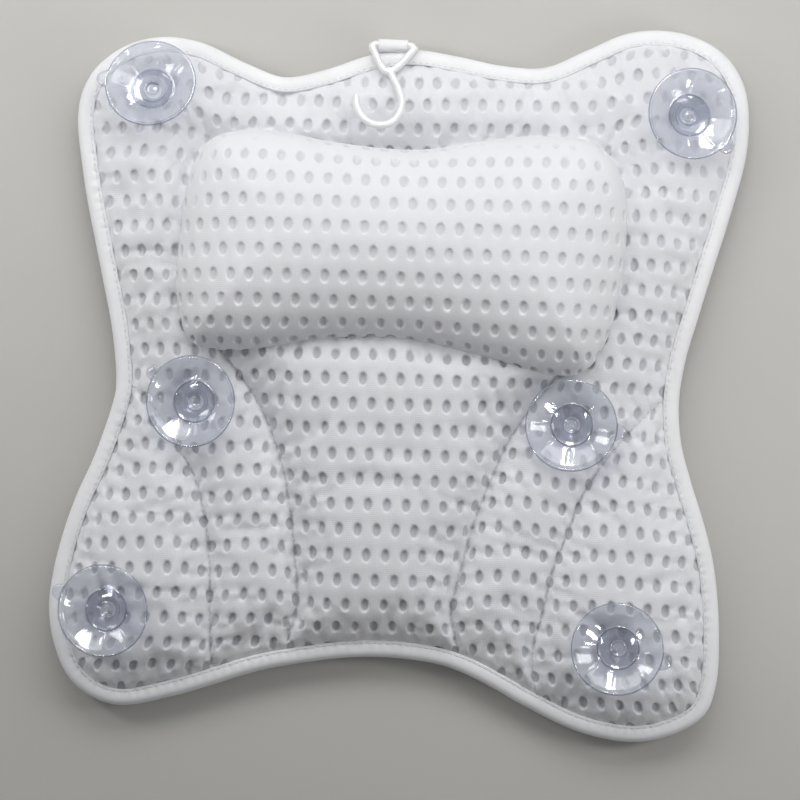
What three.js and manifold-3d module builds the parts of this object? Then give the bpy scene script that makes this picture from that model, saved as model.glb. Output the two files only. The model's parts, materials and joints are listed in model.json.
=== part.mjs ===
// A quilted bath pillow of white spacer mesh, with a neck roll, six suction cups and a hook.
// It lies on its rear cover. +X is to the right, +Y towards the hook, +Z up, in millimetres.
// The group is moved at the end so that the origin is the middle of the box's base.

import * as THREE from "three";
import { mergeVertices } from "three/addons/utils/BufferGeometryUtils.js";
import Module from "manifold-3d";

const wasm = await Module();
wasm.setup();

// Overall size and clearances
const pillowWidth = 372;
const pillowLength = 378;
const sewnGap = 0.3;
const weldDistance = 0.0001;
const padGap = 0.45;
const padInset = 1;
const padEdge = 0.1;
const padRelief = 0.3;
const padDrawLimitShare = 0.42;

// Covers, hem and heights, measured up from the surface that it lies on
const coverThickness = 3;
const hemWidth = 7.6;
const hemMidHeight = 10;
const seamLift = 3.5;
const seamRiseShare = 0.25;
const seamSweepPower = 3;
const seatLift = 9;
const yokeCrown = 10;
const centreCrown = 15;
const wingCrown = 13;
const crownRun = 45;
const rearRun = 25;

// Edge binding
const bindingThickness = 1.5;
const bindingFlange = 7;

// Threads
const threadRadius = 0.4;
const threadTrimLimitShare = 0.45;
const stitchMargin = 1.4;

// Neck roll
const rollTuck = 8;
const rollSeatMargin = 2;
const rollHeight = 40;
const rollWaistHeight = 14;
const rollFoot = 2.5;
const rollKneeHeight = 7;
const rollKneeInset = 3;
const rollRun = 54;
const rollThreadInset = 0.9;

// Suction cup, one moulding: head, neck, collar, bowl and tab
const cupRadius = 24.5;
const cupDepth = 8;
const cupWall = 1.4;
const cupLip = 1.8;
const cupHubRadius = 11;
const cupHubHeight = 0.8;
const cupFlareShare = 0.6;
const cupFlareRiseShare = 0.42;
const cupDimpleRadius = 3.6;
const cupDimpleDepth = 0.8;
const cupCollarRadius = 6.8;
const cupCollarHeight = 2.8;
const cupNeckRadius = 4.4;
const cupHeadRadius = 7.8;
const cupHeadThickness = 2.2;
const cupHoleClearance = 0.4;
const cupTabLength = 5;
const cupTabWidth = 9;
const cupTabSegments = 4;
const cupSides = 16;
const cupHoleSides = 8;

// Hook and the tape loop that holds it
const hookLength = 46;
const hookEyeLength = 15;
const hookWidth = 26;
const hookBarLength = 22;
const hookWireRadius = 1.75;
const hookPlace = -12;
const hookStandoff = 4;
const hookBarHeight = 16;
const hookLieDegrees = 26;
const hookWireSides = 8;
const hookBarSteps = 4;
const hookEyeSteps = 20;
const hookJSteps = 22;
const loopWidth = 15;
const loopThickness = 1.3;
const loopClearance = 0.5;
const loopSegments = 6;

// How many cells the quilted panels have
const wingColumns = 3;
const bandColumns = 3;
const centreColumns = 10;
const lowerRows = 8;
const rollRows = 5;
const topRows = 3;
const bagColumns = 14;
const bagRows = 7;

// How finely curves are measured, and what counts as one place or as inside a triangle
const measuresPerStep = 16;
const placeDigits = 3;
const insideSlack = 1e-6;

// The edge, anticlockwise, as shares of half the width and half the length.
// Each run starts at a corner of the quilting.
const edgeRuns = [
  { name: "leftWing", steps: lowerRows, shares: [[-0.825, -0.035], [-0.83, -0.09],
    [-0.865, -0.225], [-0.92, -0.37], [-0.96, -0.52], [-0.975, -0.665], [-0.957, -0.77]] },
  { name: "leftWingFoot", steps: wingColumns, shares: [[-0.895, -0.88], [-0.83, -0.928],
    [-0.76, -0.935], [-0.64, -0.91]] },
  { name: "leftBandFoot", steps: bandColumns, shares: [[-0.485, -0.86], [-0.38, -0.82]] },
  { name: "centreFoot", steps: centreColumns, shares: [[-0.275, -0.79], [-0.09, -0.76],
    [0.07, -0.765]] },
  { name: "rightBandFoot", steps: bandColumns, shares: [[0.185, -0.79], [0.3, -0.84]] },
  { name: "rightWingFoot", steps: wingColumns, shares: [[0.405, -0.893], [0.49, -0.932],
    [0.6, -0.968], [0.72, -0.98], [0.82, -0.965]] },
  { name: "rightWing", steps: lowerRows, shares: [[0.905, -0.915], [0.945, -0.85],
    [0.96, -0.76], [0.958, -0.65], [0.945, -0.515], [0.915, -0.39], [0.865, -0.25],
    [0.825, -0.13]] },
  { name: "rightSide", steps: rollRows, shares: [[0.81, -0.01], [0.815, 0.09], [0.84, 0.235],
    [0.877, 0.385], [0.915, 0.515]] },
  { name: "rightShoulder", steps: topRows, shares: [[0.96, 0.68], [0.972, 0.81],
    [0.957, 0.9]] },
  { name: "topRight", steps: bandColumns, shares: [[0.91, 0.975], [0.835, 1.025],
    [0.72, 1.045]] },
  { name: "top", steps: centreColumns, shares: [[0.62, 1.03], [0.53, 0.99], [0.445, 0.943],
    [0.355, 0.917], [0.25, 0.922], [0.13, 0.94], [0.02, 0.954], [-0.08, 0.948],
    [-0.2, 0.903], [-0.305, 0.87], [-0.37, 0.861], [-0.44, 0.873], [-0.52, 0.912]] },
  { name: "topLeft", steps: bandColumns, shares: [[-0.62, 0.953], [-0.705, 0.967],
    [-0.785, 0.96], [-0.855, 0.929]] },
  { name: "leftShoulder", steps: topRows, shares: [[-0.912, 0.882], [-0.952, 0.817],
    [-0.966, 0.74]] },
  { name: "leftSide", steps: rollRows, shares: [[-0.955, 0.64], [-0.934, 0.53],
    [-0.907, 0.42], [-0.86, 0.235], [-0.83, 0.06]] },
];

// The neck roll seen from above, anticlockwise, in the same shares
const rollRuns = [
  { name: "bottom", shares: [[-0.605, 0.112], [-0.455, 0.095], [-0.21, 0.138],
    [0.02, 0.145], [0.24, 0.105], [0.43, 0.065]] },
  { name: "right", shares: [[0.53, 0.078], [0.58, 0.14], [0.615, 0.27], [0.63, 0.44],
    [0.625, 0.56]] },
  { name: "top", shares: [[0.585, 0.655], [0.495, 0.713], [0.28, 0.706], [0.022, 0.66],
    [-0.227, 0.672], [-0.37, 0.693], [-0.48, 0.695]] },
  { name: "left", shares: [[-0.575, 0.66], [-0.625, 0.575], [-0.645, 0.46], [-0.65, 0.34],
    [-0.65, 0.235]] },
];

// The quilting seams between the edge, at the foot, and their upper ends
const leftWingSeamShares = [[-0.507, -0.75], [-0.513, -0.63], [-0.53, -0.455],
  [-0.577, -0.285], [-0.645, -0.185], [-0.715, -0.08]];
const leftBandSeamShares = [[-0.262, -0.66], [-0.279, -0.485], [-0.308, -0.312],
  [-0.349, -0.182], [-0.416, -0.054], [-0.505, 0.055]];
const rightBandSeamShares = [[0.175, -0.7], [0.185, -0.6], [0.207, -0.49], [0.236, -0.372],
  [0.277, -0.256], [0.335, -0.122], [0.425, 0.005]];
const rightWingSeamShares = [[0.415, -0.755], [0.441, -0.63], [0.46, -0.525], [0.5, -0.405],
  [0.55, -0.272], [0.668, -0.106]];

// Each cup: its place, which way it leans from upright, how far, and where its tab points
const cupTable = [
  { name: "cup_upper_left", placeShare: [-0.75, 0.8], leanToDegrees: 110, leanDegrees: 14,
    tabDegrees: 175 },
  { name: "cup_upper_right", placeShare: [0.795, 0.8], leanToDegrees: -10, leanDegrees: 10,
    tabDegrees: -40 },
  { name: "cup_middle_left", placeShare: [-0.58, -0.08], leanToDegrees: 195, leanDegrees: 12,
    tabDegrees: 145 },
  { name: "cup_middle_right", placeShare: [0.5, -0.095], leanToDegrees: 230, leanDegrees: 8,
    tabDegrees: -5 },
  { name: "cup_lower_left", placeShare: [-0.8, -0.675], leanToDegrees: 205, leanDegrees: 10,
    tabDegrees: 160 },
  { name: "cup_lower_right", placeShare: [0.66, -0.715], leanToDegrees: 205, leanDegrees: 9,
    tabDegrees: -12 },
];

// The hook's J, from the eye's apex to the tip: across as a share of its width, and away
// from the bar as a share of its length
const hookJShares = [[-0.07, 0.3], [0.06, 0.42], [0.2, 0.56], [0.28, 0.7], [0.24, 0.84],
  [0.08, 0.96], [-0.16, 1], [-0.42, 0.965], [-0.61, 0.87], [-0.7, 0.75], [-0.72, 0.64]];

// Heights that follow from the sizes above
const frontHemTop = hemMidHeight + sewnGap / 2 + coverThickness;
const rearHemTop = hemMidHeight - sewnGap / 2;
const rearHemBottom = rearHemTop - coverThickness;
const seatTop = frontHemTop + seatLift;
const edgeInset = bindingThickness + sewnGap;

const up = new THREE.Vector3(0, 0, 1);

function onPlan([x, y]) {
  return new THREE.Vector3((x * pillowWidth) / 2, (y * pillowLength) / 2, 0);
}

// Parameters along a curve between two others, evenly spaced by length
function evenSteps(curve, from, to, steps) {
  const fine = steps * measuresPerStep;
  const at = (i) => from + ((to - from) * i) / fine;
  const lengths = [0];
  for (let i = 1; i <= fine; i += 1) {
    const piece = curve.getPoint(at(i)).distanceTo(curve.getPoint(at(i - 1)));
    lengths.push(lengths[i - 1] + piece);
  }
  const result = [];
  let i = 0;
  for (let step = 0; step <= steps; step += 1) {
    const wanted = (lengths[fine] * step) / steps;
    while (i < fine - 1 && lengths[i + 1] < wanted) {
      i += 1;
    }
    result.push(at(i + (wanted - lengths[i]) / (lengths[i + 1] - lengths[i])));
  }
  return result;
}

// A closed outline: stations along it, each with the direction inwards
function closedOutline(runs) {
  const points = runs.flatMap((run) => run.shares.map(onPlan));
  const curve = new THREE.CatmullRomCurve3(points, true, "centripetal");
  const stations = [];
  const spans = {};
  let first = 0;
  for (const run of runs) {
    const last = first + run.shares.length;
    const places = evenSteps(curve, first / points.length, last / points.length, run.steps);
    spans[run.name] = [stations.length, stations.length + run.steps];
    for (const t of places.slice(0, -1)) {
      const along = curve.getTangent(t);
      const inward = new THREE.Vector3(-along.y, along.x, 0).normalize();
      stations.push({ point: curve.getPoint(t), inward });
    }
    first = last;
  }
  return { stations, spans };
}

// The outline moved inwards, at one height
function ringInset(outline, inset, height) {
  return outline.stations.map(({ point, inward }) =>
    point.clone().addScaledVector(inward, inset).setZ(height));
}

// One run of a ring, from its first corner to its last or back
function runOf(ring, outline, name, back = false) {
  const [first, last] = outline.spans[name];
  const count = last - first + 1;
  const points = Array.from({ length: count }, (_, i) => ring[(first + i) % ring.length]);
  return back ? points.reverse() : points;
}

function lineBetween(a, b, steps) {
  return Array.from({ length: steps + 1 }, (_, i) => a.clone().lerp(b, i / steps));
}

// A seam from its foot to its upper end, on an open curve through its points
function seamBetween(foot, shares, head) {
  const inner = shares.map((share, i) => {
    const part = (i + 1) / (shares.length + 1);
    const lift = Math.min(1, part / seamRiseShare) * seamLift;
    const sweep = (head.z - foot.z) * part ** seamSweepPower;
    const height = Math.max(frontHemTop + lift, foot.z + sweep);
    return onPlan(share).setZ(height);
  });
  const curve = new THREE.CatmullRomCurve3([foot, ...inner, head], false, "centripetal");
  const places = evenSteps(curve, 0, 1, lowerRows);
  return [foot, ...places.slice(1, -1).map((t) => curve.getPoint(t)), head];
}

// A four-sided patch filled in between its sides
function coonsPoint({ bottom, top, left, right }, i, j) {
  const columns = bottom.length - 1;
  const rows = left.length - 1;
  if (j === 0) return bottom[i];
  if (j === rows) return top[i];
  if (i === 0) return left[j];
  if (i === columns) return right[j];
  const u = i / columns;
  const v = j / rows;
  const across = left[j].clone().lerp(right[j], u);
  const along = bottom[i].clone().lerp(top[i], v);
  const low = bottom[0].clone().lerp(bottom[columns], u);
  const high = top[0].clone().lerp(top[columns], u);
  return across.add(along).sub(low.lerp(high, v));
}

// The edge and the roll's seat
const edge = closedOutline(edgeRuns);
const coverEdge = ringInset(edge, edgeInset, frontHemTop);
const hemLine = ringInset(edge, edgeInset + hemWidth, frontHemTop);
const seatSteps = { bottom: centreColumns, right: rollRows, top: centreColumns, left: rollRows };
const seatOutline = closedOutline(rollRuns.map((run) => ({ ...run, steps: seatSteps[run.name] })));
const seatLine = ringInset(seatOutline, rollTuck, seatTop);

const hem = (name, back) => runOf(hemLine, edge, name, back);
const seat = (name, back) => runOf(seatLine, seatOutline, name, back);

const lowerLeft = seat("bottom")[0];
const lowerRight = seat("right")[0];
const upperRight = seat("top")[0];
const upperLeft = seat("left")[0];
const leftWaist = hem("leftWing")[0];
const rightWaist = hem("rightSide")[0];

const leftWingSeam = seamBetween(hem("leftBandFoot")[0], leftWingSeamShares, leftWaist);
const leftBandSeam = seamBetween(hem("centreFoot")[0], leftBandSeamShares, lowerLeft);
const rightBandSeam = seamBetween(hem("rightBandFoot")[0], rightBandSeamShares, lowerRight);
const rightWingSeam = seamBetween(hem("rightWingFoot")[0], rightWingSeamShares, rightWaist);

const leftWaistLine = lineBetween(leftWaist, lowerLeft, bandColumns);
const rightWaistLine = lineBetween(lowerRight, rightWaist, bandColumns);
const leftShoulderLine = lineBetween(hem("leftSide")[0], upperLeft, bandColumns);
const rightShoulderLine = lineBetween(upperRight, hem("rightShoulder")[0], bandColumns);
const topLeftLine = lineBetween(upperLeft, hem("topLeft")[0], topRows);
const topRightLine = lineBetween(upperRight, hem("top")[0], topRows);

// The patches of the quilting, each with the pad that lies under it. A wing ends in a point.
const wingEnd = (waist) => Array(wingColumns + 1).fill(waist);
const patches = [
  { pad: "left_wing_pad", bottom: hem("leftWingFoot"), top: wingEnd(leftWaist),
    left: hem("leftWing", true), right: leftWingSeam },
  { pad: "yoke_pad", bottom: hem("leftBandFoot"), top: leftWaistLine,
    left: leftWingSeam, right: leftBandSeam },
  { pad: "centre_pad", bottom: hem("centreFoot"), top: seat("bottom"),
    left: leftBandSeam, right: rightBandSeam },
  { pad: "yoke_pad", bottom: hem("rightBandFoot"), top: rightWaistLine,
    left: rightBandSeam, right: rightWingSeam },
  { pad: "right_wing_pad", bottom: hem("rightWingFoot"), top: wingEnd(rightWaist),
    left: rightWingSeam, right: hem("rightWing") },
  { pad: "yoke_pad", bottom: leftWaistLine, top: leftShoulderLine,
    left: hem("leftSide", true), right: seat("left", true) },
  { pad: "yoke_pad", seat: true, bottom: seat("bottom"), top: seat("top", true),
    left: seat("left", true), right: seat("right") },
  { pad: "yoke_pad", bottom: rightWaistLine, top: rightShoulderLine,
    left: seat("right"), right: hem("rightSide") },
  { pad: "yoke_pad", bottom: leftShoulderLine, top: hem("topLeft", true),
    left: hem("leftShoulder", true), right: topLeftLine },
  { pad: "yoke_pad", bottom: seat("top", true), top: hem("top", true),
    left: topLeftLine, right: topRightLine },
  { pad: "yoke_pad", bottom: rightShoulderLine, top: hem("topRight", true),
    left: topRightLine, right: hem("rightShoulder") },
];

function distanceToLine(point, line, closed = false) {
  const segment = new THREE.Line3();
  const nearest = new THREE.Vector3();
  const flat = point.clone().setZ(0);
  let least = Infinity;
  const last = closed ? line.length : line.length - 1;
  for (let i = 0; i < last; i += 1) {
    segment.start.copy(line[i]).setZ(0);
    segment.end.copy(line[(i + 1) % line.length]).setZ(0);
    segment.closestPointToPoint(flat, true, nearest);
    least = Math.min(least, nearest.distanceTo(flat));
  }
  return least;
}

const seams = [leftWingSeam, leftBandSeam, rightBandSeam, rightWingSeam];

function distanceToSeams(point) {
  const distances = seams.map((seam) => distanceToLine(point, seam));
  return Math.min(distanceToLine(point, hemLine, true), ...distances);
}

// A stuffed pad's rise: steep at its seam, level past the run
function swell(distance, run) {
  const left = 1 - Math.min(1, distance / run);
  return Math.sqrt(1 - left * left);
}

const crowns = { yoke_pad: yokeCrown, centre_pad: centreCrown, left_wing_pad: wingCrown,
  right_wing_pad: wingCrown };

// Each point of the quilting once, with the heights of both covers there
const planPoints = [];
const planCells = [];
const planIndex = new Map();

function planPoint(point, patch) {
  const key = `${point.x.toFixed(placeDigits)} ${point.y.toFixed(placeDigits)}`;
  if (planIndex.has(key)) {
    return planIndex.get(key);
  }
  const toSeam = patch ? distanceToSeams(point) : 0;
  const toSeat = distanceToLine(point, seatLine, true);
  const toFoot = distanceToLine(point, seat("bottom"));
  const crown = patch && !patch.seat ? crowns[patch.pad] : 0;
  const top = point.z + crown * swell(Math.min(toSeam, toSeat), crownRun);
  const bottom = rearHemBottom * (1 - swell(Math.min(toSeam, toFoot), rearRun));
  planIndex.set(key, planPoints.length);
  const sewn = Math.min(toSeam, toSeat) < sewnGap;
  planPoints.push({ x: point.x, y: point.y, top, bottom, sewn });
  return planPoints.length - 1;
}

// A cell keeps its corners in turn. It is cut along its shorter diagonal, but a cell with one
// free corner is cut through that corner, so that no flat facet bridges two seams.
function addCell(corners, pad) {
  const ring = corners.filter((corner, i) => corner !== corners[(i + 1) % corners.length]);
  const free = ring.filter((corner) => !planPoints[corner].sewn);
  const spread = (a, b) => {
    const [p, q] = [planPoints[a], planPoints[b]];
    return (p.x - q.x) ** 2 + (p.y - q.y) ** 2;
  };
  const shorter = ring.length === 4 && spread(ring[1], ring[3]) < spread(ring[0], ring[2]);
  const turned = free.length === 1 ? ring.indexOf(free[0]) % 2 === 1 : shorter;
  const turn = turned ? [...ring.slice(1), ring[0]] : ring;
  const triangles = [[turn[0], turn[1], turn[2]]];
  if (turn.length === 4) {
    triangles.push([turn[0], turn[2], turn[3]]);
  }
  planCells.push({ ring, triangles, pad });
}

for (const patch of patches) {
  const columns = patch.bottom.length - 1;
  const rows = patch.left.length - 1;
  const index = (i, j) => planPoint(coonsPoint(patch, i, j), patch);
  for (let j = 0; j < rows; j += 1) {
    for (let i = 0; i < columns; i += 1) {
      addCell([index(i, j), index(i + 1, j), index(i + 1, j + 1), index(i, j + 1)], patch.pad);
    }
  }
}
coverEdge.forEach((point, i) => {
  const next = (i + 1) % coverEdge.length;
  addCell([planPoint(point), planPoint(coverEdge[next]), planPoint(hemLine[next]),
    planPoint(hemLine[i])], "hem");
});

const planTriangles = planCells.flatMap((cell) => cell.triangles);

// Where a place lies on the covers: heights of the front's top and the rear's underside
function coversAt(x, y) {
  for (const [a, b, c] of planTriangles) {
    const [p, q, r] = [planPoints[a], planPoints[b], planPoints[c]];
    const area = (q.x - p.x) * (r.y - p.y) - (r.x - p.x) * (q.y - p.y);
    const s = ((x - p.x) * (r.y - p.y) - (r.x - p.x) * (y - p.y)) / area;
    const t = ((q.x - p.x) * (y - p.y) - (x - p.x) * (q.y - p.y)) / area;
    if (s >= -insideSlack && t >= -insideSlack && s + t <= 1 + insideSlack) {
      const mix = (key) => p[key] + s * (q[key] - p[key]) + t * (r[key] - p[key]);
      return { top: mix("top"), bottom: mix("bottom") };
    }
  }
  throw new Error(`no cover at ${x}, ${y}`);
}

function geometryOf(triangles) {
  const geometry = new THREE.BufferGeometry();
  const numbers = triangles.flatMap((corners) => corners.flatMap((p) => [p.x, p.y, p.z]));
  geometry.setAttribute("position", new THREE.Float32BufferAttribute(numbers, 3));
  return geometry;
}

// The edges of some rings of corners that no two of them share
function outerEdges(rings) {
  const edges = new Map();
  for (const ring of rings) {
    ring.forEach((from, i) => {
      const to = ring[(i + 1) % ring.length];
      if (!edges.delete(`${to} ${from}`)) {
        edges.set(`${from} ${to}`, [from, to]);
      }
    });
  }
  return [...edges.values()];
}

// A closed body between two heights over some cells of the plan
function layerOver(cells, topAt, bottomAt) {
  const triangles = [];
  const flat = cells.flatMap((cell) => cell.triangles);
  for (const [a, b, c] of flat) {
    triangles.push([topAt(a), topAt(b), topAt(c)], [bottomAt(c), bottomAt(b), bottomAt(a)]);
  }
  for (const [from, to] of outerEdges(flat)) {
    triangles.push([bottomAt(from), bottomAt(to), topAt(to)]);
    triangles.push([bottomAt(from), topAt(to), topAt(from)]);
  }
  return geometryOf(triangles);
}

const cellsUnder = (pad) => planCells.filter((cell) => cell.pad === pad);

function coverLayer(topOf, bottomOf) {
  const at = (height) => (i) => {
    const point = planPoints[i];
    return new THREE.Vector3(point.x, point.y, height(point));
  };
  return layerOver(planCells, at(topOf), at(bottomOf));
}

// What a pad's edge point is drawn towards: the inner corners beside it, or else across from it
function innerCorners(cells, rim, point) {
  return cells.filter(({ ring }) => ring.includes(point)).flatMap(({ ring }) => {
    const i = ring.indexOf(point);
    const beside = [ring[(i + 1) % ring.length], ring.at(i - 1)];
    const inner = beside.filter((corner) => !rim.has(corner));
    if (inner.length || ring.length < 4) {
      return inner;
    }
    return [ring[(i + 2) % ring.length]].filter((corner) => !rim.has(corner));
  });
}

// A pad between the covers, its edge points drawn in to keep clear of seams and hem
function padBody(pad) {
  const cells = cellsUnder(pad);
  const rim = new Set(outerEdges(cells.map((cell) => cell.ring)).flat());
  const places = new Map();
  for (const corner of rim) {
    const point = planPoints[corner];
    const aims = innerCorners(cells, rim, corner);
    const aim = new THREE.Vector2();
    aims.forEach((i) => aim.add(new THREE.Vector2(planPoints[i].x, planPoints[i].y)));
    const toAim = aim.divideScalar(Math.max(1, aims.length)).sub(point);
    const share = Math.min(padInset / toAim.length(), padDrawLimitShare);
    const moved = new THREE.Vector2(point.x, point.y).addScaledVector(toAim, share);
    places.set(corner, { x: moved.x, y: moved.y, ...coversAt(moved.x, moved.y) });
  }
  const at = (side) => (i) => {
    const point = places.get(i) ?? planPoints[i];
    const middle = (point.top + point.bottom) / 2;
    const gap = places.has(i) ? padGap + padRelief : padGap;
    const half = (point.top - point.bottom) / 2 - coverThickness - gap;
    return new THREE.Vector3(point.x, point.y, middle + side * Math.max(half, padEdge / 2));
  };
  return layerOver(cells, at(1), at(-1));
}

// A body swept through rings of points: joined end to end, or capped
function sweptBody(rings, closed) {
  const triangles = [];
  const count = rings[0].length;
  const last = closed ? rings.length : rings.length - 1;
  for (let k = 0; k < last; k += 1) {
    const [here, next] = [rings[k], rings[(k + 1) % rings.length]];
    for (let i = 0; i < count; i += 1) {
      const j = (i + 1) % count;
      triangles.push([here[j], here[i], next[j]], [next[j], here[i], next[i]]);
    }
  }
  if (!closed) {
    const [first, end] = [rings[0], rings.at(-1)];
    for (let i = 1; i < count - 1; i += 1) {
      triangles.push([first[0], first[i], first[i + 1]], [end[0], end[i + 1], end[i]]);
    }
  }
  return geometryOf(triangles);
}

// The tape folded over the hem: its section in outward and upward distances
function bindingBody() {
  const [top, bottom] = [frontHemTop + sewnGap, rearHemBottom - sewnGap];
  const round = bindingThickness / 2;
  const section = [[-bindingFlange, top], [sewnGap, top], [sewnGap, bottom],
    [-bindingFlange, bottom], [-bindingFlange, bottom - bindingThickness],
    [sewnGap, bottom - bindingThickness], [edgeInset, bottom + round], [edgeInset, top - round],
    [sewnGap, top + bindingThickness], [-bindingFlange, top + bindingThickness]];
  const rings = edge.stations.map(({ inward }, i) => section.map(([out, height]) =>
    coverEdge[i].clone().addScaledVector(inward, -out).setZ(height)));
  return sweptBody(rings, true);
}

// A thread laid along points: a four-sided tube whose sections stand upright
function threadBody(points, closed) {
  const rings = points.map((point, i) => {
    const before = points[closed ? (i + points.length - 1) % points.length : Math.max(0, i - 1)];
    const after = points[closed ? (i + 1) % points.length : Math.min(points.length - 1, i + 1)];
    const along = after.clone().sub(before).setZ(0).normalize();
    const side = new THREE.Vector3().crossVectors(along, up).multiplyScalar(threadRadius);
    return [point.clone().add(side), point.clone().addScaledVector(up, threadRadius),
      point.clone().sub(side), point.clone().addScaledVector(up, -threadRadius)];
  });
  return sweptBody(rings, closed);
}

// A seam's thread lies in its valley, short of both ends
function seamThread(seam) {
  const lift = sewnGap + threadRadius * 2;
  const points = seam.map((point) => point.clone().setZ(coversAt(point.x, point.y).top + lift));
  const trim = (end, next) => {
    const share = rollTuck / 2 / end.distanceTo(next);
    end.lerp(next, Math.min(threadTrimLimitShare, share));
  };
  trim(points[0], points[1]);
  trim(points.at(-1), points.at(-2));
  return threadBody(points, false);
}

function edgeThread() {
  const lift = frontHemTop + sewnGap * 2 + bindingThickness + threadRadius;
  return threadBody(ringInset(edge, edgeInset + bindingFlange - stitchMargin, lift), true);
}

const bagSteps = { bottom: bagColumns, right: bagRows, top: bagColumns, left: bagRows };
const bagOutline = closedOutline(rollRuns.map((run) => ({ ...run, steps: bagSteps[run.name] })));

function rollThread() {
  const lift = seatTop + sewnGap + threadRadius;
  return threadBody(ringInset(bagOutline, rollTuck + rollThreadInset, lift), true);
}

// The neck roll's bag: a grid of points over its outline, and rings down to its foot.
// Depth is how far under the bag's own surface this skin lies.
function bagSkin(depth) {
  const waist = seatTop + rollWaistHeight;
  const foot = seatTop + sewnGap;
  const rim = ringInset(bagOutline, depth, waist);
  const run = (name, back) => runOf(rim, bagOutline, name, back);
  const patch = { bottom: run("bottom"), top: run("top", true), left: run("left", true),
    right: run("right") };
  const rise = seatTop + rollHeight - waist - depth;
  const crownPoint = (i, j) => {
    const point = coonsPoint(patch, i, j).clone();
    const distance = distanceToLine(point, rim, true);
    return point.setZ(waist + rise * swell(distance, rollRun - depth));
  };
  const grid = [];
  for (let j = 0; j <= bagRows; j += 1) {
    grid.push(Array.from({ length: bagColumns + 1 }, (_, i) => crownPoint(i, j)));
  }
  const footInset = rollTuck + rollSeatMargin + depth;
  const rings = [rim, ringInset(bagOutline, rollKneeInset + depth, seatTop + rollKneeHeight),
    ringInset(bagOutline, footInset, seatTop + rollFoot), ringInset(bagOutline, footInset, foot)];
  return { grid, rings };
}

function bagTriangles({ grid, rings }) {
  const triangles = [];
  for (let j = 0; j < bagRows; j += 1) {
    for (let i = 0; i < bagColumns; i += 1) {
      const [a, b] = [grid[j][i], grid[j][i + 1]];
      const [c, d] = [grid[j + 1][i + 1], grid[j + 1][i]];
      const cut = a.distanceTo(c) < b.distanceTo(d);
      triangles.push(...(cut ? [[a, b, c], [a, c, d]] : [[b, c, d], [b, d, a]]));
    }
  }
  for (let k = 0; k < rings.length - 1; k += 1) {
    triangles.push(...ringWall(rings[k], rings[k + 1]));
  }
  return triangles;
}

// The wall between a ring and the one below it, facing out
function ringWall(upper, lower) {
  return upper.flatMap((point, i) => {
    const next = (i + 1) % upper.length;
    return [[lower[i], lower[next], upper[next]], [lower[i], upper[next], point]];
  });
}

const turnedOver = (triangles) => triangles.map(([a, b, c]) => [c, b, a]);

function bagCover() {
  const outer = bagSkin(0);
  const inner = bagSkin(coverThickness);
  const foot = ringWall(outer.rings.at(-1), inner.rings.at(-1));
  return geometryOf([...bagTriangles(outer), ...turnedOver(bagTriangles(inner)), ...foot]);
}

function bagFilling() {
  const skin = bagSkin(coverThickness + padGap);
  const foot = skin.rings.at(-1);
  const flat = foot.map((point) => new THREE.Vector2(point.x, point.y));
  const base = THREE.ShapeUtils.triangulateShape(flat, []).map(([a, b, c]) =>
    [foot[c], foot[b], foot[a]]);
  return geometryOf([...bagTriangles(skin), ...base]);
}

// Joining and cutting
function solidOf(geometry) {
  const bare = new THREE.BufferGeometry();
  bare.setAttribute("position", geometry.getAttribute("position").clone());
  if (geometry.index) bare.setIndex(geometry.index.clone());
  const merged = mergeVertices(bare, weldDistance);
  const mesh = new wasm.Mesh({ numProp: 3, vertProperties: merged.getAttribute("position").array,
    triVerts: new Uint32Array(merged.index.array) });
  mesh.merge();
  return new wasm.Manifold(mesh);
}

function geometryFrom(solid) {
  const mesh = solid.getMesh();
  const geometry = new THREE.BufferGeometry();
  geometry.setAttribute("position", new THREE.BufferAttribute(mesh.vertProperties, 3));
  geometry.setIndex(new THREE.BufferAttribute(mesh.triVerts, 1));
  return geometry;
}

// Suction cups. In a cup's own frame the cover's top is at zero and the axis is +Z.
const cupFloor = cupCollarHeight + cupWall;
const cupRim = cupFloor + cupDepth;
const headTop = -coverThickness - sewnGap;

function cupProfile() {
  const [hub, dimple] = [cupHubRadius, cupDimpleRadius];
  const flareRadius = hub + (cupRadius - cupLip - hub) * cupFlareShare;
  const flareHeight = cupFloor + (cupDepth - cupLip) * cupFlareRiseShare;
  return [[0, headTop - cupHeadThickness], [cupHeadRadius, headTop - cupHeadThickness],
    [cupHeadRadius, headTop], [cupNeckRadius, headTop], [cupNeckRadius, sewnGap],
    [cupCollarRadius, sewnGap], [cupCollarRadius, cupCollarHeight],
    [hub, cupCollarHeight], [flareRadius, flareHeight - cupWall], [cupRadius, cupRim - cupWall],
    [cupRadius, cupRim], [cupRadius - cupLip, cupRim], [flareRadius, flareHeight],
    [hub + cupWall, cupFloor], [hub, cupFloor + cupHubHeight],
    [hub - cupWall, cupFloor], [dimple, cupFloor], [0, cupFloor - cupDimpleDepth]];
}

function latheOf(profile, sides) {
  const points = profile.map(([radius, height]) => new THREE.Vector2(radius, height));
  return new THREE.LatheGeometry(points, sides).rotateX(Math.PI / 2);
}

function cupTab(degrees) {
  const half = cupTabWidth / 2;
  const [inner, outer] = [cupRadius - cupLip, cupRadius + cupTabLength - half];
  const shape = new THREE.Shape();
  shape.moveTo(inner, -half);
  shape.lineTo(outer, -half);
  shape.absarc(outer, 0, half, -Math.PI / 2, Math.PI / 2);
  shape.lineTo(inner, half);
  const tab = new THREE.ExtrudeGeometry(shape, { depth: cupWall, bevelEnabled: false,
    curveSegments: cupTabSegments });
  return tab.rotateZ(THREE.MathUtils.degToRad(degrees)).translate(0, 0, cupRim - cupWall);
}

function cupBody(tabDegrees) {
  return solidOf(latheOf(cupProfile(), cupSides)).add(solidOf(cupTab(tabDegrees)));
}

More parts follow.
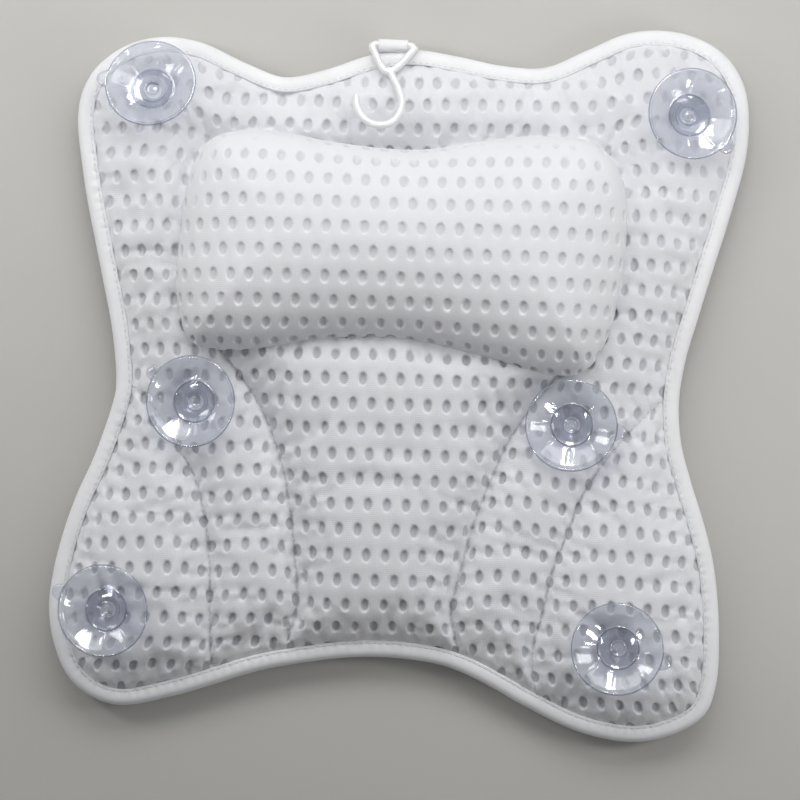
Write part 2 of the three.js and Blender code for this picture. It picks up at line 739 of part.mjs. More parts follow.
// What a cup needs cut away: the neck's hole, and flats for its collar and head
function cupCutter() {
  const around = (radius) => (radius + cupHoleClearance) / Math.cos(Math.PI / cupHoleSides);
  const [neck, collar, head] = [cupNeckRadius, cupCollarRadius, cupHeadRadius].map(around);
  const depth = headTop - cupHeadThickness - cupHoleClearance;
  return latheOf([[0, depth], [head, depth], [head, -coverThickness], [neck, -coverThickness],
    [neck, 0], [collar, 0], [collar, cupRim], [0, cupRim]], cupHoleSides);
}

function cupFrame({ placeShare, leanToDegrees, leanDegrees }) {
  const place = onPlan(placeShare);
  place.z = coversAt(place.x, place.y).top;
  const lean = THREE.MathUtils.degToRad(leanDegrees);
  const to = THREE.MathUtils.degToRad(leanToDegrees);
  const axis = new THREE.Vector3(Math.sin(lean) * Math.cos(to), Math.sin(lean) * Math.sin(to),
    Math.cos(lean));
  return { place, turn: new THREE.Quaternion().setFromUnitVectors(up, axis) };
}

const cups = cupTable.map((cup) => ({ ...cup, ...cupFrame(cup) }));

function withoutCups(geometry) {
  let solid = solidOf(geometry);
  for (const { place, turn } of cups) {
    const cutter = cupCutter().applyQuaternion(turn).translate(place.x, place.y, place.z);
    solid = solid.subtract(solidOf(cutter));
  }
  return geometryFrom(solid);
}

// The hook, in its own plane: across along X, away from the bar along Y.
// A full circle gets two points for each of its curve segments.
function wireAlong(path, steps) {
  const section = new THREE.Shape();
  section.absarc(0, 0, hookWireRadius, 0, Math.PI * 2);
  return new THREE.ExtrudeGeometry(section, { extrudePath: path, steps,
    curveSegments: hookWireSides / 2 });
}

function hookBody() {
  const half = hookBarLength / 2;
  const apex = new THREE.Vector3(hookJShares[0][0] * hookWidth, hookEyeLength, 0);
  const barEnd = (side) => new THREE.Vector3(side * half, 0, 0);
  const bar = lineBetween(barEnd(-1), barEnd(1), hookBarSteps);
  const corner = (side) => new THREE.Vector3(side * (half + hookWireRadius), hookWireRadius, 0);
  const eyePoints = [corner(-1), ...bar, corner(1), apex];
  const eyeCurve = new THREE.CatmullRomCurve3(eyePoints, true, "centripetal");
  const eye = new THREE.TubeGeometry(eyeCurve, hookEyeSteps, hookWireRadius, hookWireSides, true);
  const points = hookJShares.map(([x, y]) => new THREE.Vector3(x * hookWidth, y * hookLength, 0));
  const curve = new THREE.CatmullRomCurve3(points, false, "centripetal");
  return geometryFrom(solidOf(eye).add(solidOf(wireAlong(curve, hookJSteps))));
}

function topEdgeAt(x) {
  const run = runOf(ringInset(edge, 0, 0), edge, "top");
  const i = run.findIndex((point) => point.x <= x);
  const [a, b] = [run[i - 1], run[i]];
  return a.y + ((b.y - a.y) * (x - a.x)) / (b.x - a.x);
}

// The tape loop: round the bar, with a tail to the binding's outer wall
function loopBody(edgeY, barY) {
  const inner = hookWireRadius + loopClearance;
  const outer = inner + loopThickness;
  const shape = new THREE.Shape();
  const tail = edgeY - barY + sewnGap;
  const drop = hemMidHeight - hookBarHeight;
  shape.moveTo(outer, 0);
  shape.absarc(0, 0, outer, 0, Math.PI, false);
  shape.lineTo(tail, drop + loopThickness);
  shape.lineTo(tail, drop - loopThickness);
  shape.lineTo(0, -outer);
  shape.absarc(0, 0, outer, -Math.PI / 2, 0, false);
  const bore = new THREE.Path();
  bore.absarc(0, 0, inner, 0, Math.PI * 2, true);
  shape.holes.push(bore);
  const tape = new THREE.ExtrudeGeometry(shape, { depth: loopWidth, bevelEnabled: false,
    curveSegments: loopSegments });
  return tape.translate(0, 0, -loopWidth / 2);
}

// Materials
const finish = (color, roughness, more = {}) =>
  new THREE.MeshStandardMaterial({ color, roughness, metalness: 0, ...more });
const meshCloth = () => finish(0xe6e8ec, 0.95);
const padding = () => finish(0xdcdcd8, 1);
const tapeCloth = () => finish(0xf0f1f3, 0.85);
const sewingThread = () => finish(0xf4f4f4, 0.8);
const whitePlastic = () => finish(0xf2f2f0, 0.4);
const clearVinyl = () => finish(0xc9d8ea, 0.1, { transparent: true, opacity: 0.45 });

const pillow = new THREE.Group();

function addPart(name, geometry, material, parent = pillow) {
  geometry.computeVertexNormals();
  const mesh = new THREE.Mesh(geometry, material);
  mesh.name = name;
  parent.add(mesh);
  return mesh;
}

const frontTop = (point) => point.top;
const frontUnder = (point) => point.top - coverThickness;
const rearTop = (point) => point.bottom + coverThickness;
const rearUnder = (point) => point.bottom;

addPart("rear_cover", coverLayer(rearTop, rearUnder), meshCloth());
addPart("front_cover", withoutCups(coverLayer(frontTop, frontUnder)), meshCloth());
for (const pad of ["yoke_pad", "centre_pad", "left_wing_pad", "right_wing_pad"]) {
  addPart(pad, withoutCups(padBody(pad)), padding());
}
addPart("edge_binding", bindingBody(), tapeCloth());
addPart("edge_thread", edgeThread(), sewingThread());
addPart("left_wing_thread", seamThread(leftWingSeam), sewingThread());
addPart("left_band_thread", seamThread(leftBandSeam), sewingThread());
addPart("right_band_thread", seamThread(rightBandSeam), sewingThread());
addPart("right_wing_thread", seamThread(rightWingSeam), sewingThread());
addPart("neck_roll_cover", bagCover(), meshCloth());
addPart("neck_roll_filling", bagFilling(), padding());
addPart("neck_roll_thread", rollThread(), sewingThread());

for (const { name, place, turn, tabDegrees } of cups) {
  const cup = addPart(name, geometryFrom(cupBody(tabDegrees)), clearVinyl());
  cup.position.copy(place);
  cup.quaternion.copy(turn);
}

// The hook lies over the top strip, its bar just past the edge
const loopSides = [hookPlace - loopWidth / 2, hookPlace + loopWidth / 2];
const edgeY = Math.max(...loopSides.map(topEdgeAt));
const barY = edgeY + hookStandoff;
const hangerGroup = new THREE.Group();
hangerGroup.position.set(hookPlace, barY, hookBarHeight);
pillow.add(hangerGroup);

const loop = addPart("hanging_loop", loopBody(edgeY, barY), tapeCloth(), hangerGroup);
loop.rotation.set(Math.PI / 2, Math.PI / 2, 0);
const hook = addPart("hook", hookBody(), whitePlastic(), hangerGroup);
hook.rotation.set(Math.PI - THREE.MathUtils.degToRad(hookLieDegrees), 0, 0);

const box = new THREE.Box3().setFromObject(pillow, true);
const middle = box.getCenter(new THREE.Vector3());
pillow.position.set(-middle.x, -middle.y, -box.min.z);

export default pillow;
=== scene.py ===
"""A quilted bath pillow of white air mesh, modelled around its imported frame.

The fabric starts flat, as a lattice of oval holes. It is then carried onto the quilting,
which a cloth simulation has puffed up between its seams. All lengths are in metres.
"""
import json
import math
from contextlib import contextmanager
from functools import lru_cache
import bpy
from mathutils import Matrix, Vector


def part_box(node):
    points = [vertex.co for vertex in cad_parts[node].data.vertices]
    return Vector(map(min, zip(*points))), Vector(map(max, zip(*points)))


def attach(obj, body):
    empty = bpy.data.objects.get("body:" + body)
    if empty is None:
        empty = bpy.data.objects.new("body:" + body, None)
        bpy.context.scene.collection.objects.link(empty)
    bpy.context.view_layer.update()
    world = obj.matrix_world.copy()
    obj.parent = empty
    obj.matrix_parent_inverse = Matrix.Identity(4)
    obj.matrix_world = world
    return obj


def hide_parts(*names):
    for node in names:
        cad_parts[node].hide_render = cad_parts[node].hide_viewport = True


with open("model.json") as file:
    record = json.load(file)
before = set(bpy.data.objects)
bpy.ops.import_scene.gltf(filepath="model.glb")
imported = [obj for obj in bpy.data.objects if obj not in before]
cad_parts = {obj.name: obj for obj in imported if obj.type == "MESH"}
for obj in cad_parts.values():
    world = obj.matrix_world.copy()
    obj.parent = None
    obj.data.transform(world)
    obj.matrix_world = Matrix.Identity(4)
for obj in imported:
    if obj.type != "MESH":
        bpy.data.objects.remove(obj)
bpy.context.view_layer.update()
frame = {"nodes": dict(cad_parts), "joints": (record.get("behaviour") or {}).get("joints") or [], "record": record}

from types import SimpleNamespace

import bmesh
import bpy
import numpy as np
from bpy.props import FloatProperty, FloatVectorProperty, IntProperty, PointerProperty
from mathutils import Matrix, Vector
from mathutils.kdtree import KDTree

bl_info = {
    "name": "Bath Pillow",
    "version": (1, 0, 0),
    "blender": (4, 5, 0),
    "location": "View3D > Sidebar > Bath Pillow",
    "description": "Models a quilted bath pillow with suction cups and a hook",
    "category": "Object",
}

MM = 0.001

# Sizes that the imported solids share
SEWN_GAP = 0.3 * MM
TAPE_THICKNESS = 1.5 * MM
EDGE_INSET = TAPE_THICKNESS + SEWN_GAP
TAPE_FLANGE = 7 * MM
STITCH_MARGIN = 1.4 * MM
HEM_WIDTH = 7.6 * MM
ROLL_TUCK = 8 * MM
ROLL_THREAD_INSET = 0.9 * MM
THREAD_RADIUS = 0.4 * MM
BINDING_LOW, BINDING_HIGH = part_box("edge_binding")
HEM_TOP = BINDING_HIGH.z - TAPE_THICKNESS - SEWN_GAP
HEM_BOTTOM = BINDING_LOW.z + TAPE_THICKNESS + SEWN_GAP
ROLL_LOW, ROLL_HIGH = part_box("neck_roll_cover")
SEAT_TOP = ROLL_LOW.z - SEWN_GAP

# How finely lines are followed and surfaces are laid out
LINE_STEP = 2 * MM
GRID_STEP = 2.5 * MM
CURVE_SAMPLES = 24
CROWN_BLUR = 4
SLIDE_BLUR = 3
LAYING_ROUNDS = 4
FABRIC_SPARE = 1.25
SPARE_CELLS = 4
SAME_PLACE = 0.05 * MM
TINY = 1e-9

# Where the cloth is cut under the binding, how far from a seam it is marked for the
# material, in millimetres, and how far from a seam a hole or a ridge has its full height
FABRIC_CUT = 4 * MM
SEAM_REACH = 4.0
HOLE_FADE = 4 * MM
SEWN_HOLE_SHARE = 0.25
RIDGE_FADE = 8 * MM

# The painted shade in the holes grows lighter towards the hook, as under brighter light, from a start over a run
# and by a share
LIGHTER_FROM, LIGHTER_RUN, LIGHTER_SHARE = 20 * MM, 80 * MM, 0.45

# Where the strip by the hook is at its lowest, and where it starts to fall
STRIP_LOWEST, STRIP_TOP = 11 * MM, 38 * MM

# How unevenly the gathers beside a seam follow each other: shifts of their phase and the
# lengths that these change over, the distance to the first, and how fast they change height
PUCKER_SHIFTS = ((2.2, 31 * MM), (1.3, 13 * MM))
PUCKER_START, PUCKER_CHANGE = 1.5 * MM, 47 * MM

# The collar that a cup holds the cloth up to, and the ring of folds round it
COLLAR_REACH, FOLD_RADIUS, FOLD_WIDTH = 7 * MM, 15 * MM, 6 * MM

# How far from a cup and from a seam the cloth is pinned in the simulation, how loose it is
# elsewhere, and the furthest that a point may move
CUP_PINS, SEAM_PINS, LOOSENESS, PUFF_LIMIT = 9 * MM, 3 * MM, 0.97, 3 * MM

# How far in from its side the seat under the roll has risen to its full height
SEAT_RUN = 25 * MM

# The neck roll's holes, their depth and their painted shade, fade over the last of its side by the hook
BARE_EDGE, BARE_RUN = 2.5 * MM, 20 * MM

CUP_NODES = sorted(name for name in frame["nodes"] if name.startswith("cup_"))


def size_prop(name, description, size):
    return FloatProperty(name=name, description=description, default=size, unit="LENGTH")


def angle_prop(name, description, turn):
    return FloatProperty(name=name, description=description, default=turn, unit="ROTATION")


def number_prop(name, description, value):
    return FloatProperty(name=name, description=description, default=value)


def count_prop(name, description, number):
    return IntProperty(name=name, description=description, default=number)


def colour_prop(name, description, colour):
    return FloatVectorProperty(name=name, description=description, default=colour,
                               subtype="COLOR", size=4, min=0, max=1)


class ClothSizes(bpy.types.PropertyGroup):
    """Sizes of the mesh fabric and of the quilting"""
    hole_width: size_prop("Hole width", "Width of a hole in the fabric", 4.4 * MM)
    hole_height: size_prop("Hole height", "Height of a hole in the fabric", 6.6 * MM)
    hole_depth: size_prop("Hole depth", "How far down the floor of a hole lies", 1.7 * MM)
    pitch: size_prop("Pitch", "Distance from one hole to the next in a row", 9.95 * MM)
    row_pitch: size_prop("Row pitch", "Distance from one row of holes to the next", 13.3 * MM)
    lattice_turn: angle_prop(
        "Lattice turn", "How far the rows turn from straight across", math.radians(0.8))
    yoke_crown: size_prop("Yoke crown", "Rise of the padding round the neck roll", 10 * MM)
    centre_crown: size_prop("Centre crown", "Rise of the middle pad", 15 * MM)
    wing_crown: size_prop("Wing crown", "Rise of the lower side pads", 13 * MM)
    crown_run: size_prop("Crown run", "Distance from a seam to a pad's full height", 45 * MM)
    edge_run: size_prop("Edge run", "Distance over which a pad's edge rounds up at the hem", 26 * MM)
    edge_share: number_prop("Edge share", "Share of a pad's rise that its edge takes at the hem", 0.42)
    seam_run: size_prop("Seam run", "Distance over which a pad's edge rounds up at a seam", 9 * MM)
    seam_share: number_prop("Seam share", "Share of a pad's rise that its edge takes at a seam", 0.3)
    dip: size_prop("Dip", "How far the strip by the hook falls towards the roll", 12.5 * MM)
    rear_run: size_prop("Rear run", "Distance from a seam to where the rear lies flat", 25 * MM)
    pucker: size_prop("Pucker", "Height of the small gathers beside a seam", 0.6 * MM)
    pucker_pitch: size_prop("Pucker pitch", "Distance from one gather to the next", 7 * MM)
    pucker_reach: size_prop("Pucker reach", "How far from a seam the gathers fade", 6 * MM)
    cup_reach: size_prop("Cup reach", "How far round a cup it holds the fabric level", 20 * MM)
    cup_fold: size_prop("Cup fold", "Height of the folds round a cup's neck", 0.5 * MM)
    slack: number_prop("Slack", "Share by which the fabric is larger than its pads", 0.03)
    pressure: number_prop("Pressure", "Push of the stuffing in the simulation", 1.5)
    bending: number_prop("Bending", "Stiffness of the fabric in the simulation", 0.4)
    frames: count_prop("Frames", "Length of the simulation", 16)
    ripple: size_prop("Ripple", "Height of the ridges that run along the rows of holes", 0.15 * MM)


class RollSizes(bpy.types.PropertyGroup):
    """Sizes of the neck roll"""
    waist: size_prop("Waist height", "Height of its widest line over its seat", 9 * MM)
    drop: size_prop("Drop", "How far its lower side bulges over the middle pad", 4.5 * MM)
    fall: size_prop("Fall", "How far its seat falls away on the side of the hook", 7 * MM)
    run: size_prop("Run", "Distance from its side to its full height", 54 * MM)
    foot_inset: size_prop("Foot inset", "How far its foot tucks in under its side", 9.5 * MM)


class CupSizes(bpy.types.PropertyGroup):
    """Sizes of a suction cup"""
    radius: size_prop("Radius", "Radius of the rim", 24.5 * MM)
    depth: size_prop("Depth", "Depth of the bowl", 8 * MM)
    wall: size_prop("Wall", "Thickness of the bowl", 1.4 * MM)
    hub_radius: size_prop("Hub radius", "Radius of the ring round the middle", 11 * MM)
    collar_height: size_prop("Collar height", "Height of the collar on the cloth", 2.8 * MM)
    tab_length: size_prop("Tab length", "How far the release tab stands out", 5 * MM)
    tab_width: size_prop("Tab width", "Width of the release tab", 9 * MM)
    sides: count_prop("Sides", "How many faces go round the cup", 120)


class HookSizes(bpy.types.PropertyGroup):
    """Sizes of the hook and of the tape loop"""
    length: size_prop("Length", "From the bar to the bottom of the hook", 47 * MM)
    width: size_prop("Width", "Width that the hook's shares follow", 26 * MM)
    eye_length: size_prop("Eye length", "From the bar to the point of the eye", 16.5 * MM)
    bar_length: size_prop("Bar length", "Straight part of the eye that the tape holds", 22 * MM)
    wire_radius: size_prop("Wire radius", "Half the thickness of the hook", 2.05 * MM)
    lie: angle_prop("Lie", "How far the hook stands up from level", math.radians(18))
    loop_width: size_prop("Loop width", "Width of the tape loop", 16 * MM)
    loop_thickness: size_prop("Loop thickness", "Thickness of the tape loop", 1.0 * MM)


class StitchSizes(bpy.types.PropertyGroup):
    """Sizes of the sewing"""
    length: size_prop("Length", "Length of one stitch", 2.7 * MM)
    pitch: size_prop("Pitch", "Distance from one stitch to the next", 3.4 * MM)
    radius: size_prop("Radius", "Half the thread's thickness", 0.33 * MM)


class StageSettings(bpy.types.PropertyGroup):
    """The camera, the lights and the floor"""
    camera_elevation: angle_prop(
        "Camera elevation", "Angle of the view above the floor", math.radians(86))
    camera_turn: angle_prop(
        "Camera turn", "How far the view is turned about the upright", math.radians(2.7))
    camera_distance: size_prop("Camera distance", "From the camera to the pillow", 1.6)
    view_width: size_prop("View width", "Width of the picture at the pillow", 0.4282)
    key_power: number_prop("Key power", "Strength of the main light", 1.75)
    left_power: number_prop("Left power", "Strength of the low light on the left", 0.85)
    right_power: number_prop("Right power", "Strength of the low light on the right", 0.75)
    window_power: number_prop(
        "Window power", "Strength of the panes that only glossy pieces mirror", 14.0)
    sky_strength: number_prop("Sky strength", "Strength of the light from all round", 0.2)
    sky_slope: number_prop("Sky slope", "How much brighter the sky is beyond the hook", 0.7)
    sky_sides: number_prop("Sky sides", "How much brighter the sky is to the left and right", 0.5)


class Finishes(bpy.types.PropertyGroup):
    """Colours of the materials"""
    cloth: colour_prop("Cloth", "Colour of the mesh fabric", (0.82, 0.82, 0.845, 1))
    # The hole colour is painted shade: deep in a hole the cloth is painted towards it
    hole: colour_prop("Hole", "Colour deep in the fabric's holes", (0.54, 0.545, 0.575, 1))
    tape: colour_prop("Tape", "Colour of the binding tape", (0.93, 0.93, 0.94, 1))
    thread: colour_prop("Thread", "Colour of the sewing thread", (0.84, 0.84, 0.86, 1))
    vinyl: colour_prop("Vinyl", "Tint of the suction cups", (0.95, 0.965, 0.99, 1))
    plastic: colour_prop("Plastic", "Colour of the hook", (0.86, 0.86, 0.87, 1))
    floor: colour_prop("Floor", "Colour of the floor", (0.55, 0.54, 0.51, 1))


class PillowSettings(bpy.types.PropertyGroup):
    """Everything about the pillow that a user would change"""
    cloth: PointerProperty(type=ClothSizes)
    roll: PointerProperty(type=RollSizes)
    cup: PointerProperty(type=CupSizes)
    hook: PointerProperty(type=HookSizes)
    stitch: PointerProperty(type=StitchSizes)
    stage: PointerProperty(type=StageSettings)
    finish: PointerProperty(type=Finishes)


def settings():
    return bpy.context.scene.bath_pillow


# How far the sewn edge stands out from the solid's, in millimetres, at angles round the
# pillow's middle in degrees
EDGE_EASE = [(0, 0.5), (6, 1.5), (12, 3.0), (18, 3.7), (26, 3.8), (33, 2.8), (40, 1.5),
             (50, 1.5), (60, 2.5), (70, 1.8), (80, 2.3), (90, 2.2), (104, 2.6), (115, 1.5),
             (130, 0.5), (144, 1.2), (165, 1.5), (176, 0.0), (186, -1.2), (194, 0.0),
             (210, 0.3), (222, 0.8), (236, 1.8), (243, 1.8), (252, 3.3), (263, 3.4),
             (275, 2.3), (285, 0.5), (300, 0.0), (324, -1.2), (342, -1.0), (360, 0.5)]

# Where the rows of holes stand up in ridges: the middle, the reach across and up, and the
# height of the ridges, in millimetres
RIDGES = [(146, 62, 24, 45, 0.42), (-135, 20, 24, 40, 0.2)]


# Lines seen from above, as rows of points

def thread_points(node, closed):
    """The middle line of a CAD thread: where one of its points lies right over another"""
    corners = np.array([v.co for v in frame["nodes"][node].data.vertices])
    found = []
    for corner in corners:
        beside = np.hypot(*(corners[:, :2] - corner[:2]).T) < SAME_PLACE
        heights = corners[beside, 2]
        known = any(math.dist(corner[:2], point[:2]) < SAME_PLACE for point in found)
        if np.ptp(heights) > THREAD_RADIUS and not known:
            found.append((*corner[:2], heights.mean()))
    points = np.array(found)
    middle = points.mean(0)
    angles = np.arctan2(points[:, 1] - middle[1], points[:, 0] - middle[0])
    return points[np.argsort(angles if closed else points[:, 1])]


def unit(ways):
    """Rows of directions, each made one long"""
    return ways / np.linalg.norm(ways, axis=1)[:, None]


def line_lengths(line):
    """How far along an open line each of its points lies"""
    return np.append(0, np.cumsum(np.linalg.norm(np.diff(line, axis=0), axis=1)))


def smooth_line(points, closed, step=LINE_STEP):
    """Points at even steps along a smooth curve through the given ones"""
    count = len(points)
    spans = np.arange(count if closed else count - 1)

    def at(index):
        return points[index % count if closed else np.clip(index, 0, count - 1)][:, None]

    share = np.linspace(0, 1, CURVE_SAMPLES, endpoint=False)[None, :, None]
    a, b, c, d = at(spans - 1), at(spans), at(spans + 1), at(spans + 2)
    bend = 2 * a - 5 * b + 4 * c - d + share * (3 * (b - c) + d - a)
    fine = (b + share / 2 * (c - a + share * bend)).reshape(-1, points.shape[1])
    fine = np.vstack([fine, points[0] if closed else points[-1]])
    lengths = line_lengths(fine)
    steps = max(2, round(lengths[-1] / step))
    wanted = np.linspace(0, lengths[-1], steps + 1)
    line = np.stack([np.interp(wanted, lengths, column) for column in fine.T], 1)
    return line[:-1] if closed else line


def longer_line(line, length):
    """An open line run on straight at both ends"""
    first, last = line[[0, -1]] + unit(line[[0, -1]] - line[[1, -2]]) * length
    return np.vstack([first, line, last])


def inward(line):
    """The direction into a closed anticlockwise line at each of its points"""
    along = np.roll(line, -1, 0) - np.roll(line, 1, 0)
    return unit(np.stack([-along[:, 1], along[:, 0]], 1))


def inset_line(line, distance):
    moved = line.copy()
    moved[:, :2] += inward(line) * distance
    return moved


def nearest(places, line, closed):
    """For each place: its distance from the line, the point of the line there, how far
    along the line that is, and whether the place lies to the line's left"""
    tree = KDTree(len(line))
    for index, point in enumerate(line):
        tree.insert((point[0], point[1], 0), index)
    tree.balance()
    best = np.array([tree.find((x, y, 0))[1] for x, y in places[:, :2]])
    count = len(line)
    distance = np.full(len(places), np.inf)
    point = np.empty((len(places), line.shape[1]))
    along = np.empty(len(places))
    left = np.empty(len(places), bool)
    for step in (-1, 0):
        first = (best + step) % count if closed else np.clip(best + step, 0, count - 2)
        start, span = line[first], line[(first + 1) % count] - line[first]
        offset = places[:, :2] - start[:, :2]
        share = (offset * span[:, :2]).sum(1) / (span[:, :2] ** 2).sum(1)
        share = np.clip(share, 0, 1)
        foot = start + span * share[:, None]
        gap = np.linalg.norm(places[:, :2] - foot[:, :2], axis=1)
        closer = gap < distance
        distance[closer] = gap[closer]
        point[closer] = foot[closer]
        along[closer] = (first + share)[closer]
        left[closer] = (span[:, 0] * offset[:, 1] > span[:, 1] * offset[:, 0])[closer]
    return distance, point, along, left


def seat_fall(line):
    """How much lower the roll's seat lies along its side by the hook"""
    return settings().roll.fall * np.clip(-inward(line)[:, 1] * 1.2, 0, 1)


def eased(line):
    """The edge moved out to where the sewn edge lies"""
    angles = np.degrees(np.arctan2(line[:, 1], line[:, 0])) % 360
    ease = np.interp(angles, *zip(*EDGE_EASE)) * MM
    moved = line.copy()
    moved[:, :2] -= inward(line) * ease[:, None]
    return smooth_line(moved, True)


@lru_cache(maxsize=1)
def plan():
    """The lines that the quilting follows, taken from the CAD threads"""
    thread_inset = EDGE_INSET + TAPE_FLANGE - STITCH_MARGIN
    edge_stitches = smooth_line(thread_points("edge_thread", True), True)
    edge = eased(smooth_line(inset_line(edge_stitches, -thread_inset), True))
    edge_stitches = smooth_line(inset_line(edge, thread_inset), True)
    roll_stitches = smooth_line(thread_points("neck_roll_thread", True), True)
    bag = smooth_line(inset_line(roll_stitches, -ROLL_TUCK - ROLL_THREAD_INSET), True)
    bag[:, 1] -= settings().roll.drop * np.clip(inward(bag)[:, 1], 0, 1)
    bag = smooth_line(bag, True)
    bag[:, 2] = SEAT_TOP - seat_fall(bag)
    hem = inset_line(edge, EDGE_INSET + HEM_WIDTH)
    hem[:, 2] = HEM_TOP
    seat = inset_line(roll_stitches, -ROLL_THREAD_INSET)
    seat[:, 2] = SEAT_TOP - seat_fall(seat)
    roll_stitches[:, 2] -= seat_fall(roll_stitches)
    seams = {}
    for name in ("left_wing", "left_band", "right_band", "right_wing"):
        line = smooth_line(thread_points(name + "_thread", False), False)
        line[:, 2] -= SEWN_GAP + THREAD_RADIUS * 2
        seams[name] = longer_line(line, ROLL_TUCK / 2)
    return SimpleNamespace(edge=edge, edge_stitches=edge_stitches, hem=hem, seat=seat,
                           bag=bag, roll_stitches=roll_stitches, seams=seams)


@lru_cache(maxsize=1)
def cup_places():
    """Where each cup stands, the way that it points, and its body"""
    joints = {joint["child"]: joint for joint in frame["joints"]}
    bodies = frame["record"]["behaviour"]["bodies"]
    places = {}
    for node in CUP_NODES:
        body = next(name for name, nodes in bodies.items() if node in nodes)
        joint = joints[body]
        places[node] = (Vector(joint["pos_m"]), Vector(joint["axis"]), body)
    return places


# Heights of the quilting

def swell(distance, run):
    """A round rise: steep at its seam, level past the run"""
    left = 1 - np.clip(distance / run, 0, 1)
    return np.sqrt(1 - left * left)


def pad_rise(near):
    """A stuffed pad's share of its full rise: a firm edge at its seams, a softer one at the
    hem and the roll, and a slowly rising middle"""
    sizes = settings().cloth
    weights = np.array([found[0] for found in near]) ** -2
    distance = (weights ** 2).sum(0) ** -0.25
    weights[:2] *= 4
    firm = (weights ** 2).sum(0) ** -0.25
    near_hem = weights[:2].sum(0) / weights.sum(0)
    share = near_hem * sizes.edge_share + (1 - near_hem) * sizes.seam_share
    edge = near_hem * swell(firm * 2, sizes.edge_run)
    edge += (1 - near_hem) * swell(firm, sizes.seam_run)
    return share * edge + (1 - share) * swell(distance, sizes.crown_run)


def strip_dip(near):
    """How much lower the strip between the hook and the roll lies towards the roll"""
    distance, level = near[1][:2]
    upper = (SEAT_TOP - level) / settings().roll.fall
    fall = np.clip((STRIP_TOP - distance) / (STRIP_TOP - STRIP_LOWEST), 0, 1)
    fall *= np.clip(distance / STRIP_LOWEST, 0, 1)
    return settings().cloth.dip * upper * fall


def blurred(values, cells):
    """A grid's values smoothed over about so many cells each way"""
    reach = int(cells * 3)
    weights = np.exp(-0.5 * (np.arange(-reach, reach + 1) / cells) ** 2)
    weights /= weights.sum()
    for axis in (0, 1):
        pads = [(reach, reach) if axis == side else (0, 0) for side in (0, 1)]
        padded = np.pad(values, pads, mode="edge")
        values = np.apply_along_axis(np.convolve, axis, padded, weights, "valid")
    return values


def seam_at(seam, y):
    """Where a seam crosses each height of the plan, and whether it reaches it"""
    return np.interp(y, seam[:, 1], seam[:, 0]), y < seam[-1, 1]


def pad_crowns(x, y):
    """The full rise of the pad that lies under each place"""
    sizes = settings().cloth
    seams = plan().seams
    crowns = np.full(x.shape, sizes.yoke_crown)
    left_x, left_there = seam_at(seams["left_wing"], y)
    right_x, right_there = seam_at(seams["right_wing"], y)
    first_x, first_there = seam_at(seams["left_band"], y)
    last_x, last_there = seam_at(seams["right_band"], y)
    crowns[(x < left_x) & left_there] = sizes.wing_crown
    crowns[(x > right_x) & right_there] = sizes.wing_crown
    crowns[(x > first_x) & (x < last_x) & (first_there | last_there)] = sizes.centre_crown
    return blurred(crowns, CROWN_BLUR)


def ties(places, lines):
    """For lines that hold the cloth down: how far each is from every place, its height
    there, how far along it that is, and whether the place lies to its left"""
    shape = places.shape[:-1]
    found = []
    for line, closed in lines:
        distance, point, along, left = nearest(places.reshape(-1, 2), line, closed)
        found.append((distance.reshape(shape) + TINY, point[:, 2].reshape(shape),
                      along.reshape(shape) * LINE_STEP, left.reshape(shape)))
    return found


def front_lines():
    lines = plan()
    seams = [(seam, False) for seam in lines.seams.values()]
    return [(lines.hem, True), (lines.seat, True)] + seams


def gathers(near):
    """Small puckers across each seam that fade away from it"""
    sizes = settings().cloth
    total = 0
    for distance, _, along, _ in near:
        phase = math.tau * along / sizes.pucker_pitch
        for shift, length in PUCKER_SHIFTS:
            phase = phase + shift * np.sin(along / length)
        fade = np.exp(-distance / sizes.pucker_reach) - np.exp(-distance / PUCKER_START)
        strength = 0.65 + 0.35 * np.sin(along / PUCKER_CHANGE)
        total = total + np.sin(phase) * fade * strength
    return total * sizes.pucker


def round_cups(places, heights):
    """The cloth held level with each cup's collar, in small folds that run out from it"""
    sizes = settings().cloth
    for place, axis, _ in cup_places().values():
        x, y = places[..., 0] - place.x, places[..., 1] - place.y
        radius = np.hypot(x, y)
        level = place.z - (axis.x * x + axis.y * y) / axis.z
        share = (sizes.cup_reach - radius) / (sizes.cup_reach - COLLAR_REACH)
        share = np.clip(share, 0, 1)
        share = share * share * (3 - 2 * share)
        turn = np.arctan2(y, x)
        folds = np.cos(turn * 9 + place.x * 60) + 0.5 * np.cos(turn * 14 + place.y * 80)
        rise = np.exp(-((radius - FOLD_RADIUS) / FOLD_WIDTH) ** 2) * sizes.cup_fold
        heights = heights * (1 - share) + level * share + folds * rise
    return heights


def front_heights(places):
    """Heights of the front cover over a grid of places of the plan"""
    sizes = settings().cloth
    near = ties(places, front_lines())
    weights = np.array([found[0] for found in near]) ** -2
    levels = np.array([found[1] for found in near])
    base = (levels * weights).sum(0) / weights.sum(0)
    crowns = pad_crowns(places[..., 0], places[..., 1])
    heights = base + crowns * pad_rise(near) + gathers(near) - strip_dip(near)
    heights = round_cups(places, heights)
    in_hem, in_seat = near[0][3], near[1][3]
    level = near[1][1] + (SEAT_TOP - near[1][1]) * np.clip(near[1][0] / SEAT_RUN, 0, 1)
    heights[in_seat] = level[in_seat]
    heights[~in_hem] = HEM_TOP
    return heights


def rear_heights(places):
    """Heights of the rear cover's underside over a grid of places of the plan"""
    sizes = settings().cloth
    lines = plan()
    near = ties(places, [(lines.hem, True)] + [(seam, False) for seam in lines.seams.values()])
    softest = (np.array([found[0] for found in near]) ** -4).sum(0) ** -0.25
    slack = np.clip(softest / sizes.rear_run, 0, 1)
    heights = HEM_BOTTOM * (1 - swell(softest, sizes.rear_run))
    heights = np.maximum(0, heights + gathers(near) * (1 - slack))
    heights[~near[0][3]] = HEM_BOTTOM
    return heights


# Surfaces: grids of points that the flat fabric is carried onto

